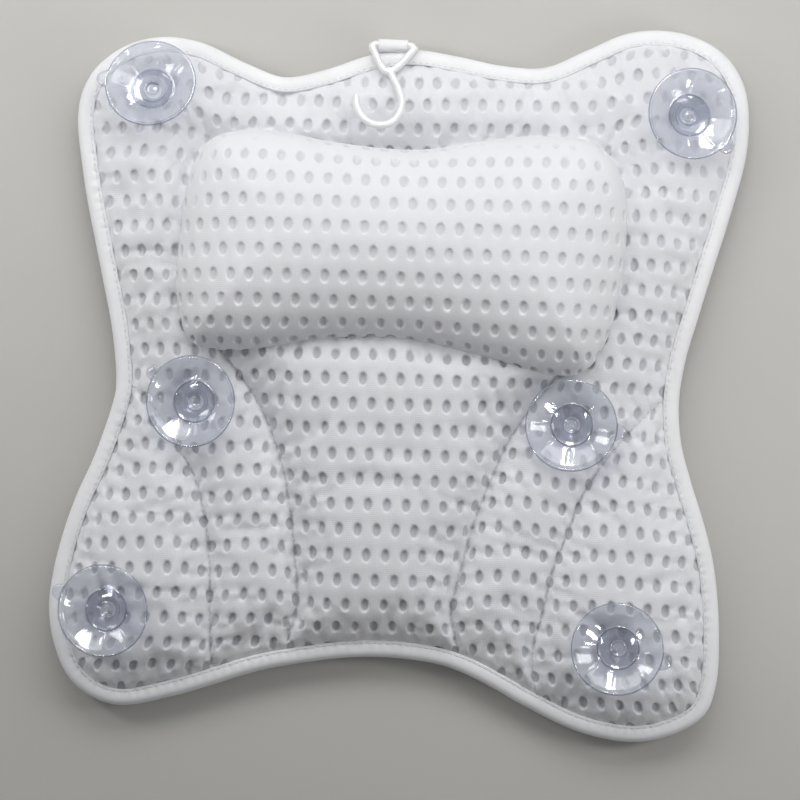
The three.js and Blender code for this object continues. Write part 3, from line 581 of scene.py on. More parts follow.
def flat_places(columns, rows):
    """Even places of flat fabric round its middle"""
    across = np.arange(-columns, columns + 1) * GRID_STEP
    up = np.arange(-rows, rows + 1) * GRID_STEP
    return np.stack(np.meshgrid(across, up), -1)


def as_grid(points, flat):
    """A surface's points, and where its flat fabric starts on the left and below"""
    return SimpleNamespace(points=points, left=flat[0, 0, 0], low=flat[0, 0, 1])


def laid_grid(heights_of, line):
    """A grid of fabric laid on a surface, so that its cells keep their size along it"""
    low, high = line[:, :2].min(0), line[:, :2].max(0)
    middle = (low + high) / 2
    columns, rows = ((high - low) / 2 * FABRIC_SPARE / GRID_STEP).astype(int)
    flat = flat_places(columns, rows)
    places = flat.copy()
    for _ in range(LAYING_ROUNDS):
        heights = heights_of(places + middle)
        kept = [kept_steps(heights, 1, columns), kept_steps(heights, 0, rows)]
        moves = [blurred(kept[axis] - flat[..., axis], SLIDE_BLUR) for axis in (0, 1)]
        places = flat + np.stack(moves, -1)
    places += middle
    return as_grid(np.concatenate([places, heights_of(places)[..., None]], -1), flat)


def kept_steps(z, axis, middle):
    """Places along one axis that leave each sloping step as long as a level one"""
    rise = np.clip(np.abs(np.diff(z, axis=axis)), 0, GRID_STEP * 0.85)
    level = np.sqrt(GRID_STEP ** 2 - rise ** 2)
    sums = np.cumsum(level, axis)
    sums = np.concatenate([np.zeros_like(np.take(sums, [0], axis)), sums], axis)
    return sums - np.take(sums, [middle], axis)


def puffed(grid, pins, limit):
    """Blows the surface up with a cloth simulation. The pins, from 0 to 1, say how firmly
    each of its points stays, and none moves further than the limit."""
    sizes = settings().cloth
    rows, columns = grid.points.shape[:2]
    mesh, column, row = grid_mesh("puffing", columns - 1, rows - 1)
    set_points(mesh, grid.points[row, column])
    piece = new_object("puffing", mesh)
    group = piece.vertex_groups.new(name="Pins")
    levels = np.round(pins[row, column] * 20) / 20
    for level in np.unique(levels):
        group.add(np.flatnonzero(levels == level).tolist(), float(level), "REPLACE")
    cloth = piece.modifiers.new("Cloth", "CLOTH")
    for name, value in (("vertex_group_mass", "Pins"), ("quality", 5), ("mass", 0.05),
                        ("air_damping", 4), ("tension_stiffness", 12),
                        ("compression_stiffness", 12), ("shear_stiffness", 4),
                        ("bending_stiffness", sizes.bending), ("pin_stiffness", 1),
                        ("shrink_min", -sizes.slack), ("use_pressure", True),
                        ("uniform_pressure_force", sizes.pressure)):
        setattr(cloth.settings, name, value)
    cloth.settings.effector_weights.gravity = 0
    cloth.collision_settings.use_collision = False
    cloth.point_cache.frame_end = sizes.frames
    for step in range(1, sizes.frames + 1):
        bpy.context.scene.frame_set(step)
    shaped = piece.evaluated_get(bpy.context.evaluated_depsgraph_get())
    ended = grid.points.copy()
    ended[row, column] = mesh_points(shaped.data)
    bpy.context.scene.frame_set(1)
    bpy.data.objects.remove(piece)
    bpy.data.meshes.remove(mesh)
    moves = ended - grid.points
    lengths = np.linalg.norm(moves, axis=-1, keepdims=True) + TINY
    grid.points += moves * limit * np.tanh(lengths / limit) / lengths


def at_grid(grid, flat):
    """The surface's points at flat fabric places, by a smooth blend of the grid's"""
    rows, columns = grid.points.shape[:2]
    u = (flat[:, 0] - grid.left) / GRID_STEP
    v = (flat[:, 1] - grid.low) / GRID_STEP
    i = np.clip(np.floor(u).astype(int), 1, columns - 3)
    j = np.clip(np.floor(v).astype(int), 1, rows - 3)
    wide, high = blend_weights(u - i), blend_weights(v - j)
    result = np.zeros((len(flat), 3))
    for row in range(4):
        for column in range(4):
            weight = (high[row] * wide[column])[:, None]
            result += grid.points[j + row - 1, i + column - 1] * weight
    return result


def blend_weights(t):
    """Weights of four neighbours in a row for a place between the middle two"""
    return [((2 - t) * t - 1) * t / 2, ((3 * t - 5) * t * t + 2) / 2,
            ((4 - 3 * t) * t + 1) * t / 2, (t - 1) * t * t / 2]


def carried(grid, flat, side=1):
    """Flat fabric points carried onto the surface; their height goes along its normal"""
    across, up = (at_grid(grid, flat[:, :2] + step) - at_grid(grid, flat[:, :2] - step)
                  for step in np.eye(2) * GRID_STEP / 2)
    normal = np.cross(across, up) * side
    normal /= np.linalg.norm(normal, axis=1)[:, None] + TINY
    return at_grid(grid, flat) + normal * flat[:, 2:3]


# Meshes

def new_object(name, data):
    piece = bpy.data.objects.new(name, data)
    bpy.context.scene.collection.objects.link(piece)
    return piece


def as_mesh(shape, name):
    """A mesh of what a bmesh holds, which is freed"""
    mesh = bpy.data.meshes.new(name)
    shape.to_mesh(mesh)
    shape.free()
    return mesh


@contextmanager
def edited(mesh):
    """A bmesh of the mesh, whose changes go back into it"""
    shape = bmesh.new()
    shape.from_mesh(mesh)
    yield shape
    shape.to_mesh(mesh)
    shape.free()


def evaluated_mesh(piece):
    """A mesh of what a piece's modifiers, or its curve, make of it"""
    return bpy.data.meshes.new_from_object(
        piece.evaluated_get(bpy.context.evaluated_depsgraph_get()))


def settle(piece):
    """Gives a piece the mesh that its modifiers make, and takes them off"""
    old = piece.data
    whole = evaluated_mesh(piece)
    piece.modifiers.clear()
    piece.data = whole
    bpy.data.meshes.remove(old)
    whole.name = piece.name
    return whole


def repeated(piece, name, count, offset, merged=False):
    """Repeats a piece at even steps"""
    array = piece.modifiers.new(name, "ARRAY")
    array.count = count
    array.use_relative_offset = False
    array.use_constant_offset = True
    array.constant_offset_displace = offset
    array.use_merge_vertices = merged
    array.merge_threshold = SAME_PLACE


def read_points(items, name):
    points = np.empty(len(items) * 3)
    items.foreach_get(name, points)
    return points.reshape(-1, 3)


def mesh_points(mesh):
    return read_points(mesh.vertices, "co")


def set_points(mesh, points):
    mesh.vertices.foreach_set("co", np.ascontiguousarray(points, float).ravel())
    mesh.update()


def grid_mesh(name, columns, rows):
    """A flat grid over the unit square, and the column and the row of each of its points"""
    shape = bmesh.new()
    bmesh.ops.create_grid(shape, x_segments=columns, y_segments=rows, size=0.5)
    mesh = as_mesh(shape, name)
    share = mesh_points(mesh)[:, :2] + 0.5
    column, row = np.rint(share * (columns, rows)).astype(int).T
    return mesh, column, row


def set_smooth(mesh):
    mesh.polygons.foreach_set("use_smooth", np.ones(len(mesh.polygons), bool))


def set_map(mesh, places, name="Fabric", scale=100):
    """A UV map from a place for each point; the fabric's is in centimetres"""
    layer = mesh.uv_layers.new(name=name)
    corners = np.empty(len(mesh.loops), int)
    mesh.loops.foreach_get("vertex_index", corners)
    layer.data.foreach_set("uv", (places[corners, :2] * scale).ravel())


def finish_mesh(mesh, merge, faces_up=None):
    """Merges points, drops empty faces and, if asked, turns the faces up or down"""
    with edited(mesh) as shape:
        bmesh.ops.remove_doubles(shape, verts=shape.verts, dist=merge)
        bmesh.ops.dissolve_degenerate(shape, edges=shape.edges, dist=merge)
        loose = [vertex for vertex in shape.verts if not vertex.link_faces]
        bmesh.ops.delete(shape, geom=loose, context="VERTS")
        if faces_up is not None:
            turn_faces(shape, faces_up)
    set_smooth(mesh)


def turn_faces(shape, faces_up):
    """Turns a sheet's faces so that most of them look up or down"""
    shape.normal_update()
    total = sum(face.normal.z * face.calc_area() for face in shape.faces)
    if (total > 0) != faces_up:
        bmesh.ops.reverse_faces(shape, faces=shape.faces)


# The fabric's lattice of holes

def cell_border(pitch, row_pitch, upright, slanted):
    """Points round a six-sided cell, from the middle of its right side"""
    lean = pitch * pitch / 8 / row_pitch
    low, high = row_pitch / 2 - lean, row_pitch / 2 + lean
    corners = [(pitch / 2, 0, upright // 2), (pitch / 2, low, slanted), (0, high, slanted),
               (-pitch / 2, low, upright), (-pitch / 2, -low, slanted), (0, -high, slanted),
               (pitch / 2, -low, upright // 2), (pitch / 2, 0, 0)]
    points = []
    for (x, y, steps), (next_x, next_y, _) in zip(corners, corners[1:]):
        for step in range(steps):
            share = step / steps
            points.append((x + (next_x - x) * share, y + (next_y - y) * share))
    return points


# Cells of the fabric: points along an upright and a slanted side, and rings. Each ring is
# its reach past the hole's edge, how far down it lies as a share of the hole's depth, and
# how much painted shade it has: the shade deepens down the hole.
FINE_CELL = (6, 3, [(1.25 * MM, 0.0, 0.0), (0.7 * MM, 0.08, 0.0), (0.25 * MM, 0.3, 0.15),
                    (-0.15 * MM, 0.72, 0.6), (-0.6 * MM, 1.0, 1.0)])
PLAIN_CELL = (4, 2, [(0.9 * MM, 0.0, 0.0), (0.2 * MM, 0.25, 0.15), (-0.5 * MM, 1.0, 1.0)])


def hole_cell(upright, slanted, rings):
    """One cell of the fabric, flat"""
    sizes = settings().cloth
    border = cell_border(sizes.pitch, sizes.row_pitch, upright, slanted)
    shape = bmesh.new()
    # The hole layer holds each point's painted shade, from none at the cloth's face to full at a hole's floor
    hole_shade_layer = shape.verts.layers.float.new("hole")
    made = bmesh.ops.create_circle(shape, segments=len(border), radius=1)
    ring = sorted(made["verts"], key=lambda v: math.atan2(v.co.y, v.co.x) % math.tau)
    for vertex, (x, y) in zip(ring, border):
        vertex.co = (x, y, 0)
    for reach, depth_share, painted_shade in rings:
        edges = [edge for edge in shape.edges
                 if len(edge.link_faces) < 2 and all(v in ring for v in edge.verts)]
        grown = bmesh.ops.extrude_edge_only(shape, edges=edges)
        new = [item for item in grown["geom"] if isinstance(item, bmesh.types.BMVert)]
        following = []
        for count, old in enumerate(ring):
            vertex = next(v for v in new if any(e.other_vert(v) is old for e in v.link_edges))
            angle = math.tau * count / len(ring)
            vertex.co = ((sizes.hole_width / 2 + reach) * math.cos(angle),
                         (sizes.hole_height / 2 + reach) * math.sin(angle),
                         -sizes.hole_depth * depth_share)
            vertex[hole_shade_layer] = painted_shade
            following.append(vertex)
        ring = following
    bmesh.ops.contextual_create(shape, geom=ring)
    bmesh.ops.recalc_face_normals(shape, faces=shape.faces)
    turn_faces(shape, True)
    return shape


def lattice_mesh(name, half_width, half_length, cell):
    """Flat fabric that covers a rectangle, made of cells in staggered rows"""
    sizes = settings().cloth
    shape = hole_cell(*cell)
    twin = bmesh.ops.duplicate(shape, geom=shape.verts[:] + shape.edges[:] + shape.faces[:])
    moved = [item for item in twin["geom"] if isinstance(item, bmesh.types.BMVert)]
    bmesh.ops.translate(shape, verts=moved, vec=(sizes.pitch / 2, sizes.row_pitch, 0))
    bmesh.ops.remove_doubles(shape, verts=shape.verts, dist=SAME_PLACE)
    piece = new_object(name, as_mesh(shape, name))
    columns = int(half_width * 2 / sizes.pitch) + 1
    pairs = int(half_length / sizes.row_pitch) + 1
    repeated(piece, "Across", columns, (sizes.pitch, 0, 0), merged=True)
    repeated(piece, "Up", pairs, (0, sizes.row_pitch * 2, 0), merged=True)
    whole = settle(piece)
    bpy.data.objects.remove(piece)
    middle = Vector(((columns - 1) / 2 * sizes.pitch, (pairs - 0.5) * sizes.row_pitch, 0))
    turn = Matrix.Rotation(sizes.lattice_turn, 4, "Z")
    whole.transform(turn @ Matrix.Translation(-middle))
    return whole


def keep_inside(mesh, line):
    """Deletes the faces whose middles lie outside a closed line"""
    kept = nearest(read_points(mesh.polygons, "center"), line, True)[3]
    with edited(mesh) as shape:
        gone = [face for face, keep in zip(shape.faces, kept) if not keep]
        bmesh.ops.delete(shape, geom=gone, context="FACES")


def fade_hole_shade(mesh, shares):
    """Makes the painted shade in the holes lighter by a share for each point"""
    layer = mesh.attributes["hole"]
    painted_shade = np.empty(len(mesh.vertices))
    layer.data.foreach_get("value", painted_shade)
    layer.data.foreach_set("value", painted_shade * shares)


def mark_seams(mesh, found):
    """Stores for each point how far it lies from the nearest seam, with a sign for its side,
    how near that is from 0 to 1, and how far along the seam; lengths are in millimetres"""
    distances = np.array([item[0] for item in found]) / MM
    closest = (distances.argmin(0), np.arange(distances.shape[1]))
    distance = distances[closest]
    side = np.where(np.array([item[3] for item in found])[closest], 1, -1)
    along = np.array([item[2] for item in found])[closest] * LINE_STEP / MM
    for name, values in (("seam_side", side * np.minimum(distance, SEAM_REACH)),
                         ("seam_near", np.clip(1 - distance / SEAM_REACH, 0, 1)),
                         ("seam_along", along)):
        mesh.attributes.new(name, "FLOAT", "POINT").data.foreach_set("value", values)


def ridges(flat, places):
    """Ridges along the rows of holes, highest just below each row"""
    sizes = settings().cloth
    height = np.full(len(flat), sizes.ripple)
    for x, y, wide, long, rise in RIDGES:
        across, up = places[:, 0] / MM - x, places[:, 1] / MM - y
        height += rise * MM * np.exp(-(across / wide) ** 2 - (up / long) ** 2)
    turn = sizes.lattice_turn
    row = (flat[:, 1] * math.cos(turn) - flat[:, 0] * math.sin(turn)) / sizes.row_pitch
    return -height * np.sin(math.tau * (row - 0.5))


def covering(name, grid, edge_line, side, cell):
    """A cover: the flat lattice carried onto its surface and cut at the edge. Its holes are
    pressed shallow where it is sewn."""
    spare = SPARE_CELLS * GRID_STEP
    mesh = lattice_mesh(name, -grid.left - spare, -grid.low - spare, cell)
    flat = mesh_points(mesh)
    set_map(mesh, flat)
    places = at_grid(grid, flat)
    found = [nearest(places, seam, False) for seam in plan().seams.values()]
    mark_seams(mesh, found)
    sewn = [item[0] for item in found]
    hem_distance, _, _, in_hem = nearest(places, plan().hem, True)
    sewn.append(np.where(in_hem, hem_distance, 0))
    sewn = np.min(sewn, axis=0)
    deepened = (1 - SEWN_HOLE_SHARE) * np.clip(sewn / HOLE_FADE, 0, 1)
    flat[:, 2] *= SEWN_HOLE_SHARE + deepened
    # The painted shade in the holes is lightened towards the hook, as where the light is brighter
    lighter = np.clip((places[:, 1] - LIGHTER_FROM) / LIGHTER_RUN, 0, 1)
    fade_hole_shade(mesh, 1 - LIGHTER_SHARE * lighter)
    flat[:, 2] += ridges(flat, places) * np.clip(sewn / RIDGE_FADE, 0, 1)
    set_points(mesh, carried(grid, flat, side))
    keep_inside(mesh, edge_line)
    finish_mesh(mesh, SAME_PLACE / 2, faces_up=side > 0)
    return new_object(name, mesh)


# Materials

def material(name, colour, roughness, **sockets):
    """A material with one Principled shader; constants go straight on its sockets"""
    made = bpy.data.materials.new(name)
    made.use_nodes = True
    shader = made.node_tree.nodes["Principled BSDF"]
    shader.inputs["Base Color"].default_value = colour
    shader.inputs["Roughness"].default_value = roughness
    for socket, value in sockets.items():
        shader.inputs[socket.replace("_", " ")].default_value = value
    return made, made.node_tree, shader


def add_node(tree, kind, **values):
    node = tree.nodes.new(kind)
    for key, value in values.items():
        if key in node.inputs:
            node.inputs[key].default_value = value
        else:
            setattr(node, key, value)
    return node


def feed(tree, socket, value):
    """Links a socket to another node's output, or sets its value"""
    if isinstance(value, bpy.types.NodeSocket):
        tree.links.new(value, socket)
    else:
        socket.default_value = value


def mixed(tree, factor, first, second):
    """A mix of two colours"""
    node = add_node(tree, "ShaderNodeMix", data_type="RGBA")
    for index, value in zip((0, 6, 7), (factor, first, second)):
        feed(tree, node.inputs[index], value)
    return node.outputs[2]


def worked(tree, operation, *values):
    """A sum on values or sockets"""
    node = add_node(tree, "ShaderNodeMath", operation=operation)
    for socket, value in zip(node.inputs, values):
        feed(tree, socket, value)
    return node.outputs[0]


def ranged(tree, value, start, end, first=0.0, last=1.0):
    """A value run from one range to another, held at its ends"""
    node = add_node(tree, "ShaderNodeMapRange")
    for name, number in (("Value", value), ("From Min", start), ("From Max", end),
                         ("To Min", first), ("To Max", last)):
        feed(tree, node.inputs[name], number)
    return node.outputs["Result"]


def ramp(tree, value, stops):
    """A colour that follows a value from stop to stop; each stop is a place and a colour"""
    node = add_node(tree, "ShaderNodeValToRGB")
    tree.links.new(value, node.inputs["Fac"])
    elements = node.color_ramp.elements
    for _ in stops[2:]:
        elements.new(0.5)
    for element, (place, colour) in zip(elements, stops):
        element.position = place
        element.color = (*colour, 1)
    return node.outputs["Color"]


def pattern(tree, kind, flat=False, **values):
    """A texture laid on the object's places or on the flat fabric"""
    node = add_node(tree, "ShaderNodeTex" + kind, **values)
    if flat:
        places = add_node(tree, "ShaderNodeUVMap", uv_map="Fabric").outputs["UV"]
    else:
        places = add_node(tree, "ShaderNodeTexCoord").outputs["Object"]
    tree.links.new(places, node.inputs["Vector"])
    return node.outputs["Fac"]


def bump(tree, shader, height, distance, strength):
    node = add_node(tree, "ShaderNodeBump", Strength=strength, Distance=distance)
    tree.links.new(height, node.inputs["Height"])
    tree.links.new(node.outputs["Normal"], shader.inputs["Normal"])


def toned(tree, factor, colour, share):
    """A colour that a factor darkens, at most to a share of itself"""
    soft = tuple(part * share for part in colour[:3]) + (1.0,)
    return mixed(tree, factor, tuple(colour), soft)


def paint(tree, shader, colour):
    tree.links.new(colour, shader.inputs["Base Color"])


def read_attribute(tree, name):
    return add_node(tree, "ShaderNodeAttribute", attribute_name=name).outputs["Fac"]


def seam_groove(tree):
    """The uneven line where the cloth is drawn in along a seam, from 0 to 1; it makes a bump and a painted shadow
    """
    side, near, along = (read_attribute(tree, name)
                         for name in ("seam_side", "seam_near", "seam_along"))

    def wave(turns, height=1.0):
        swing = worked(tree, "SINE", worked(tree, "MULTIPLY", along, turns))
        return worked(tree, "MULTIPLY", swing, height)

    sway = worked(tree, "ADD", wave(1.1, 0.3), wave(2.9, 0.15))
    away = worked(tree, "ABSOLUTE", worked(tree, "ADD", side, sway))
    line = ranged(tree, away, 0.1, 0.8, 1.0, 0.0)
    tacks = ranged(tree, wave(1.85), -1.0, 0.6, 0.35, 1.0)
    there = ranged(tree, near, 0.55, 0.7)
    return worked(tree, "MULTIPLY", worked(tree, "MULTIPLY", line, tacks), there)


@lru_cache(maxsize=1)
def cloth_material():
    """White knitted mesh: fine wales and courses, with painted shade deep in the holes and a painted shadow along
    each seam's groove
    """
    finish = settings().finish
    made, tree, shader = material("Air mesh", finish.cloth, 0.85, Sheen_Weight=0.25,
                                  Sheen_Roughness=0.5, Specular_IOR_Level=0.25)
    wales = pattern(tree, "Wave", flat=True, bands_direction="X", Scale=3.6,
                    Distortion=0.6, Detail=1.0)
    courses = pattern(tree, "Wave", flat=True, bands_direction="Y", Scale=3.0,
                      Distortion=0.8, Detail=1.0)
    clouds = pattern(tree, "Noise", Scale=28.0, Detail=3.0)
    body = toned(tree, ranged(tree, clouds, 0.0, 1.0, 0.0, 0.16), finish.cloth, 0.9)
    # Painted shade: the cloth's colour runs to the hole colour deeper down each hole
    colour = mixed(tree, read_attribute(tree, "hole"), body, tuple(finish.hole))
    groove = seam_groove(tree)
    # Painted shadow: a grey line where the seam's groove lies
    groove_shadow = worked(tree, "MULTIPLY", groove, 0.4)
    paint(tree, shader, mixed(tree, groove_shadow, colour, (0.4, 0.4, 0.43, 1)))
    knit = worked(tree, "ADD", wales, courses)
    relief = worked(tree, "SUBTRACT", knit, worked(tree, "MULTIPLY", groove, 5.0))
    bump(tree, shader, relief, 0.1 * MM, 0.35)
    return made


@lru_cache(maxsize=1)
def tape_material():
    """White woven tape with a fine rib across it"""
    finish = settings().finish
    made, tree, shader = material("Binding tape", finish.tape, 0.6, Sheen_Weight=0.12,
                                  Sheen_Roughness=0.4, Specular_IOR_Level=0.2)
    ribs, yarns = (pattern(tree, "Wave", flat=True, bands_direction=way, Scale=scale,
                           Distortion=0.3, Detail=1.0)
                   for way, scale in (("X", 3.2), ("Y", 5.0)))
    bump(tree, shader, worked(tree, "MULTIPLY", ribs, yarns), 0.08 * MM, 0.5)
    clouds = pattern(tree, "Noise", Scale=60.0, Detail=2.0)
    paint(tree, shader, toned(tree, clouds, finish.tape, 0.92))
    return made


@lru_cache(maxsize=1)
def thread_material():
    """Twisted white thread"""
    finish = settings().finish
    made, tree, shader = material("Sewing thread", finish.thread, 0.55, Sheen_Weight=0.3)
    twist = pattern(tree, "Wave", bands_direction="DIAGONAL", Scale=900.0)
    bump(tree, shader, twist, 0.05 * MM, 0.4)
    paint(tree, shader, toned(tree, twist, finish.thread, 0.86))
    return made


@lru_cache(maxsize=1)
def plastic_material():
    """Glossy white moulded plastic with faint flow marks"""
    finish = settings().finish
    made, tree, shader = material("White plastic", finish.plastic, 0.28, Coat_Weight=0.3,
                                  Coat_Roughness=0.12)
    flow = pattern(tree, "Noise", Scale=220.0, Detail=4.0)
    bump(tree, shader, flow, 0.05 * MM, 0.25)
    paint(tree, shader, toned(tree, flow, finish.plastic, 0.94))
    return made


# Tints of a cup's clear bowl and of its thicker hub, and painted shade in thin lines at its dimple, its hub's ring
# and its rim, in place of refraction
CLEAR, HUB, PAINTED_REFRACTION_LINE = (0.905, 0.915, 0.945), (0.75, 0.77, 0.83), (0.52, 0.55, 0.64)

# The share of the UV map that a cup's radius takes, and each tint's place on it
RIM_SHARE = 0.8
CUP_TINTS = [(0.0, HUB), (0.092, HUB), (0.104, PAINTED_REFRACTION_LINE), (0.12, HUB), (0.34, HUB),
             (0.352, PAINTED_REFRACTION_LINE), (0.366, PAINTED_REFRACTION_LINE), (0.378, CLEAR), (0.776, CLEAR), (0.79, PAINTED_REFRACTION_LINE),
             (0.80, PAINTED_REFRACTION_LINE), (0.812, CLEAR)]


def blend_shaders(tree, share, first, second):
    node = add_node(tree, "ShaderNodeMixShader")
    for socket, value in zip(node.inputs, (share, first, second)):
        feed(tree, socket, value)
    return node.outputs["Shader"]


@lru_cache(maxsize=1)
def vinyl_material():
    """Clear bluish soft vinyl, deeper where it is thick or seen edge on. Edge on, that is partly
    the longer path through the vinyl and partly painted shade in place of refraction, as are
    the thin lines at its rings and rim. Its UV map holds the distance from the cup's axis and
    the angle round it."""
    finish = settings().finish
    made, tree, shader = material("Clear vinyl", finish.vinyl, 0.12, IOR=1.5,
                                  Specular_IOR_Level=0.6)
    where = add_node(tree, "ShaderNodeUVMap", uv_map="Cup")
    apart = add_node(tree, "ShaderNodeSeparateXYZ")
    tree.links.new(where.outputs["UV"], apart.inputs["Vector"])
    # The ramp paints thin shaded lines at the dimple, the hub's ring and the rim, in place of refraction
    tint = ramp(tree, apart.outputs["X"], CUP_TINTS)
    facing = add_node(tree, "ShaderNodeLayerWeight", Blend=0.5).outputs["Facing"]
    edge_on = worked(tree, "POWER", facing, 4.0)
    through = add_node(tree, "ShaderNodeBsdfTransparent")
    # Seen edge on, the tint deepens: partly the longer path through the vinyl, partly painted shade in place of
    # refraction
    tree.links.new(mixed(tree, edge_on, tint, (0.74, 0.78, 0.86, 1)), through.inputs["Color"])
    shine = add_node(tree, "ShaderNodeBsdfAnisotropic", Roughness=0.07)
    bump(tree, shine, pattern(tree, "Noise", Scale=110.0, Detail=2.0), 0.3 * MM, 0.35)
    glance = worked(tree, "ADD", worked(tree, "MULTIPLY", edge_on, 0.4), 0.06)
    glossy = blend_shaders(tree, glance, through.outputs["BSDF"], shine.outputs["BSDF"])
    milky = blend_shaders(tree, 0.14, glossy, shader.outputs["BSDF"])
    tree.links.new(milky, tree.nodes["Material Output"].inputs["Surface"])
    return made


def dressed(piece, coat, body, slot, *nodes):
    """Gives a piece its material and body, and hides the CAD nodes that it stands for. Its slot is not used."""
    piece.data.materials.append(coat)
    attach(piece, body)
    if nodes:
        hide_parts(*nodes)
    return piece


# Operators

class PILLOW_OT_front_cover(bpy.types.Operator):
    """Models the quilted front cover"""
    bl_idname = "bath_pillow.front_cover"
    bl_label = "Front Cover"

    def execute(self, context):
        grid = laid_grid(front_heights, plan().edge)
        places = grid.points[..., :2]
        near = ties(places, front_lines())
        closest = np.min([found[0] for found in near], axis=0)
        pins = 1 - np.clip(closest / SEAM_PINS, 0, 1) * LOOSENESS
        pins[~near[0][3] | near[1][3]] = 1
        for place, _, _ in cup_places().values():
            from_cup = np.hypot(places[..., 0] - place.x, places[..., 1] - place.y)
            pins[from_cup < CUP_PINS] = 1
        puffed(grid, pins, PUFF_LIMIT)
        cut = inset_line(plan().edge, FABRIC_CUT)
        piece = covering("quilted_front", grid, cut, 1, FINE_CELL)
        dressed(piece, cloth_material(), "pillow", "mesh_cloth", "front_cover", "yoke_pad",
                "centre_pad", "left_wing_pad", "right_wing_pad")
        return {"FINISHED"}


class PILLOW_OT_rear_cover(bpy.types.Operator):
    """Models the rear cover that the pillow lies on"""
    bl_idname = "bath_pillow.rear_cover"
    bl_label = "Rear Cover"

    def execute(self, context):
        grid = laid_grid(rear_heights, plan().edge)
        cut = inset_line(plan().edge, FABRIC_CUT)
        piece = covering("quilted_rear", grid, cut, -1, PLAIN_CELL)
        dressed(piece, cloth_material(), "pillow", "mesh_cloth", "rear_cover")
        return {"FINISHED"}


def roll_section():
    """The neck roll's section from its crown's middle to its foot: how far in from its
    widest line, and the height, at even steps along the cloth"""
    sizes = settings().roll
    rise = ROLL_HIGH.z - SEAT_TOP - sizes.waist
    inset = np.linspace(1, 0, 40) ** 1.6 * sizes.run
    crown = np.stack([inset, sizes.waist + rise * swell(inset, sizes.run)], 1)
    turn = np.linspace(0, math.pi / 2, 12)[1:]
    side = np.stack([sizes.foot_inset * (1 - np.cos(turn)) ** 1.2,
                     sizes.waist * (1 - np.sin(turn) * 0.96)], 1)
    return smooth_line(np.vstack([crown, side]), False, 1 * MM)


def roll_grid(section, bag, middle, half):
    """The neck roll's surface: its section carried round the bag's widest line"""
    sizes = settings().roll
    lengths = line_lengths(section)
    spare = lengths[-1] - sizes.run + 2 * SPARE_CELLS * GRID_STEP
    flat = flat_places(*((half + spare) / GRID_STEP).astype(int))
    places = flat.reshape(-1, 2) + middle
    distance, foot, _, inside = nearest(places, bag, True)
    depth = np.where(inside, distance, -distance)
    along = np.clip(sizes.run - depth, 0, lengths[-1])
    inset, height = (np.interp(along, lengths, column) for column in section.T)
    towards = (places - foot[:, :2]) / (depth + TINY)[:, None]
    points = np.empty((len(places), 3))
    points[:, :2] = foot[:, :2] + towards * inset[:, None]
    deep = depth > sizes.run
    points[deep, :2] = places[deep]
    low = foot[:, 2]
    points[:, 2] = low + (SEAT_TOP - low) * np.clip(height / sizes.waist, 0, 1) + height
    return as_grid(points.reshape(*flat.shape[:2], 3), flat)


class PILLOW_OT_neck_roll(bpy.types.Operator):
    """Models the stuffed neck roll with its tucked foot"""
    bl_idname = "bath_pillow.neck_roll"
    bl_label = "Neck Roll"

    def execute(self, context):
        section = roll_section()
        skirt = line_lengths(section)[-1] - settings().roll.run
        bag = plan().bag
        half = np.ptp(bag[:, :2], axis=0) / 2
        middle = bag[:, :2].min(0) + half
        grid = roll_grid(section, bag, middle, half)
        cut = inset_line(bag, -skirt)
        cut[:, :2] -= middle
        mesh = lattice_mesh("neck_roll", *(half + skirt), FINE_CELL)
        keep_inside(mesh, cut)
        flat = mesh_points(mesh)
        _, foot, _, inside = nearest(flat, cut, True)
        flat[~inside, :2] = foot[~inside, :2]
        set_map(mesh, flat)
        self.soften_holes(mesh, flat, nearest(flat + np.append(middle, 0), bag, True)[0])
        set_points(mesh, carried(grid, flat))
        finish_mesh(mesh, SAME_PLACE / 2)
        piece = new_object("neck_roll", mesh)
        dressed(piece, cloth_material(), "pillow", "mesh_cloth", "neck_roll_cover",
                "neck_roll_filling")
        return {"FINISHED"}

    def soften_holes(self, mesh, flat, distance):
        """Makes the holes' painted shade lighter and the holes shallower than in the front cover,
        and lets both fade along the widest line on the hook's side"""
        clear = np.clip((distance - BARE_EDGE) / HOLE_FADE, 0, 1)
        clear = 1 - np.clip(flat[:, 1] / BARE_RUN, 0, 1) * (1 - clear)
        # The roll's holes keep half the painted shade of the front cover's
        fade_hole_shade(mesh, 0.5 * clear)
        flat[:, 2] *= 0.75 * clear


def swept(name, line, section):
    """A skin swept round a closed line: the section gives how far inwards and how high it
    lies. Returns the mesh, its points, and the column and row of each."""
    mesh, column, row = grid_mesh(name, len(line), len(section) - 1)
    at = column % len(line)
    points = np.empty((len(column), 3))
    points[:, :2] = line[at, :2] + inward(line)[at] * section[row, :1]
    points[:, 2] = section[row, 1]
    return mesh, points, column, row


# Steps of the tape's skin along the edge and round its section, the distance from one
# gather to the next, the gathers' height and width, and the depth of the folded side
TAPE_STEP, TAPE_RING_STEP = 1.6 * MM, 1.2 * MM
TAPE_GATHER_PITCH, TAPE_GATHER, TAPE_GATHER_WIDTH = 5.2 * MM, 0.42 * MM, 2.6 * MM
TAPE_FOLD = 5 * MM


def tape_section():
    """The folded tape's section from its upper inner edge round to its lower one"""
    half = (BINDING_HIGH.z - BINDING_LOW.z) / 2
    middle = (BINDING_HIGH.z + BINDING_LOW.z) / 2
    width = EDGE_INSET + TAPE_FLANGE
    tuck = [(width - 0.2 * MM, half - 1.6 * MM), (width, half - 1.0 * MM),
            (width - 0.3 * MM, half - 0.4 * MM), (width - 0.9 * MM, half - 0.15 * MM)]
    seam = [(width - STITCH_MARGIN, half - 0.45 * MM), (width - 2.2 * MM, half - 0.1 * MM)]
    turns = np.linspace(math.pi / 2, 0, 9)
    fold = [(TAPE_FOLD * (1 - math.cos(t) ** 0.8), half * math.sin(t) ** 0.8) for t in turns]
    upper = np.array(tuck + seam + fold)
    lower = upper[:-1][::-1] * (1, -1)
    return np.vstack([upper, lower]) + (0, middle)


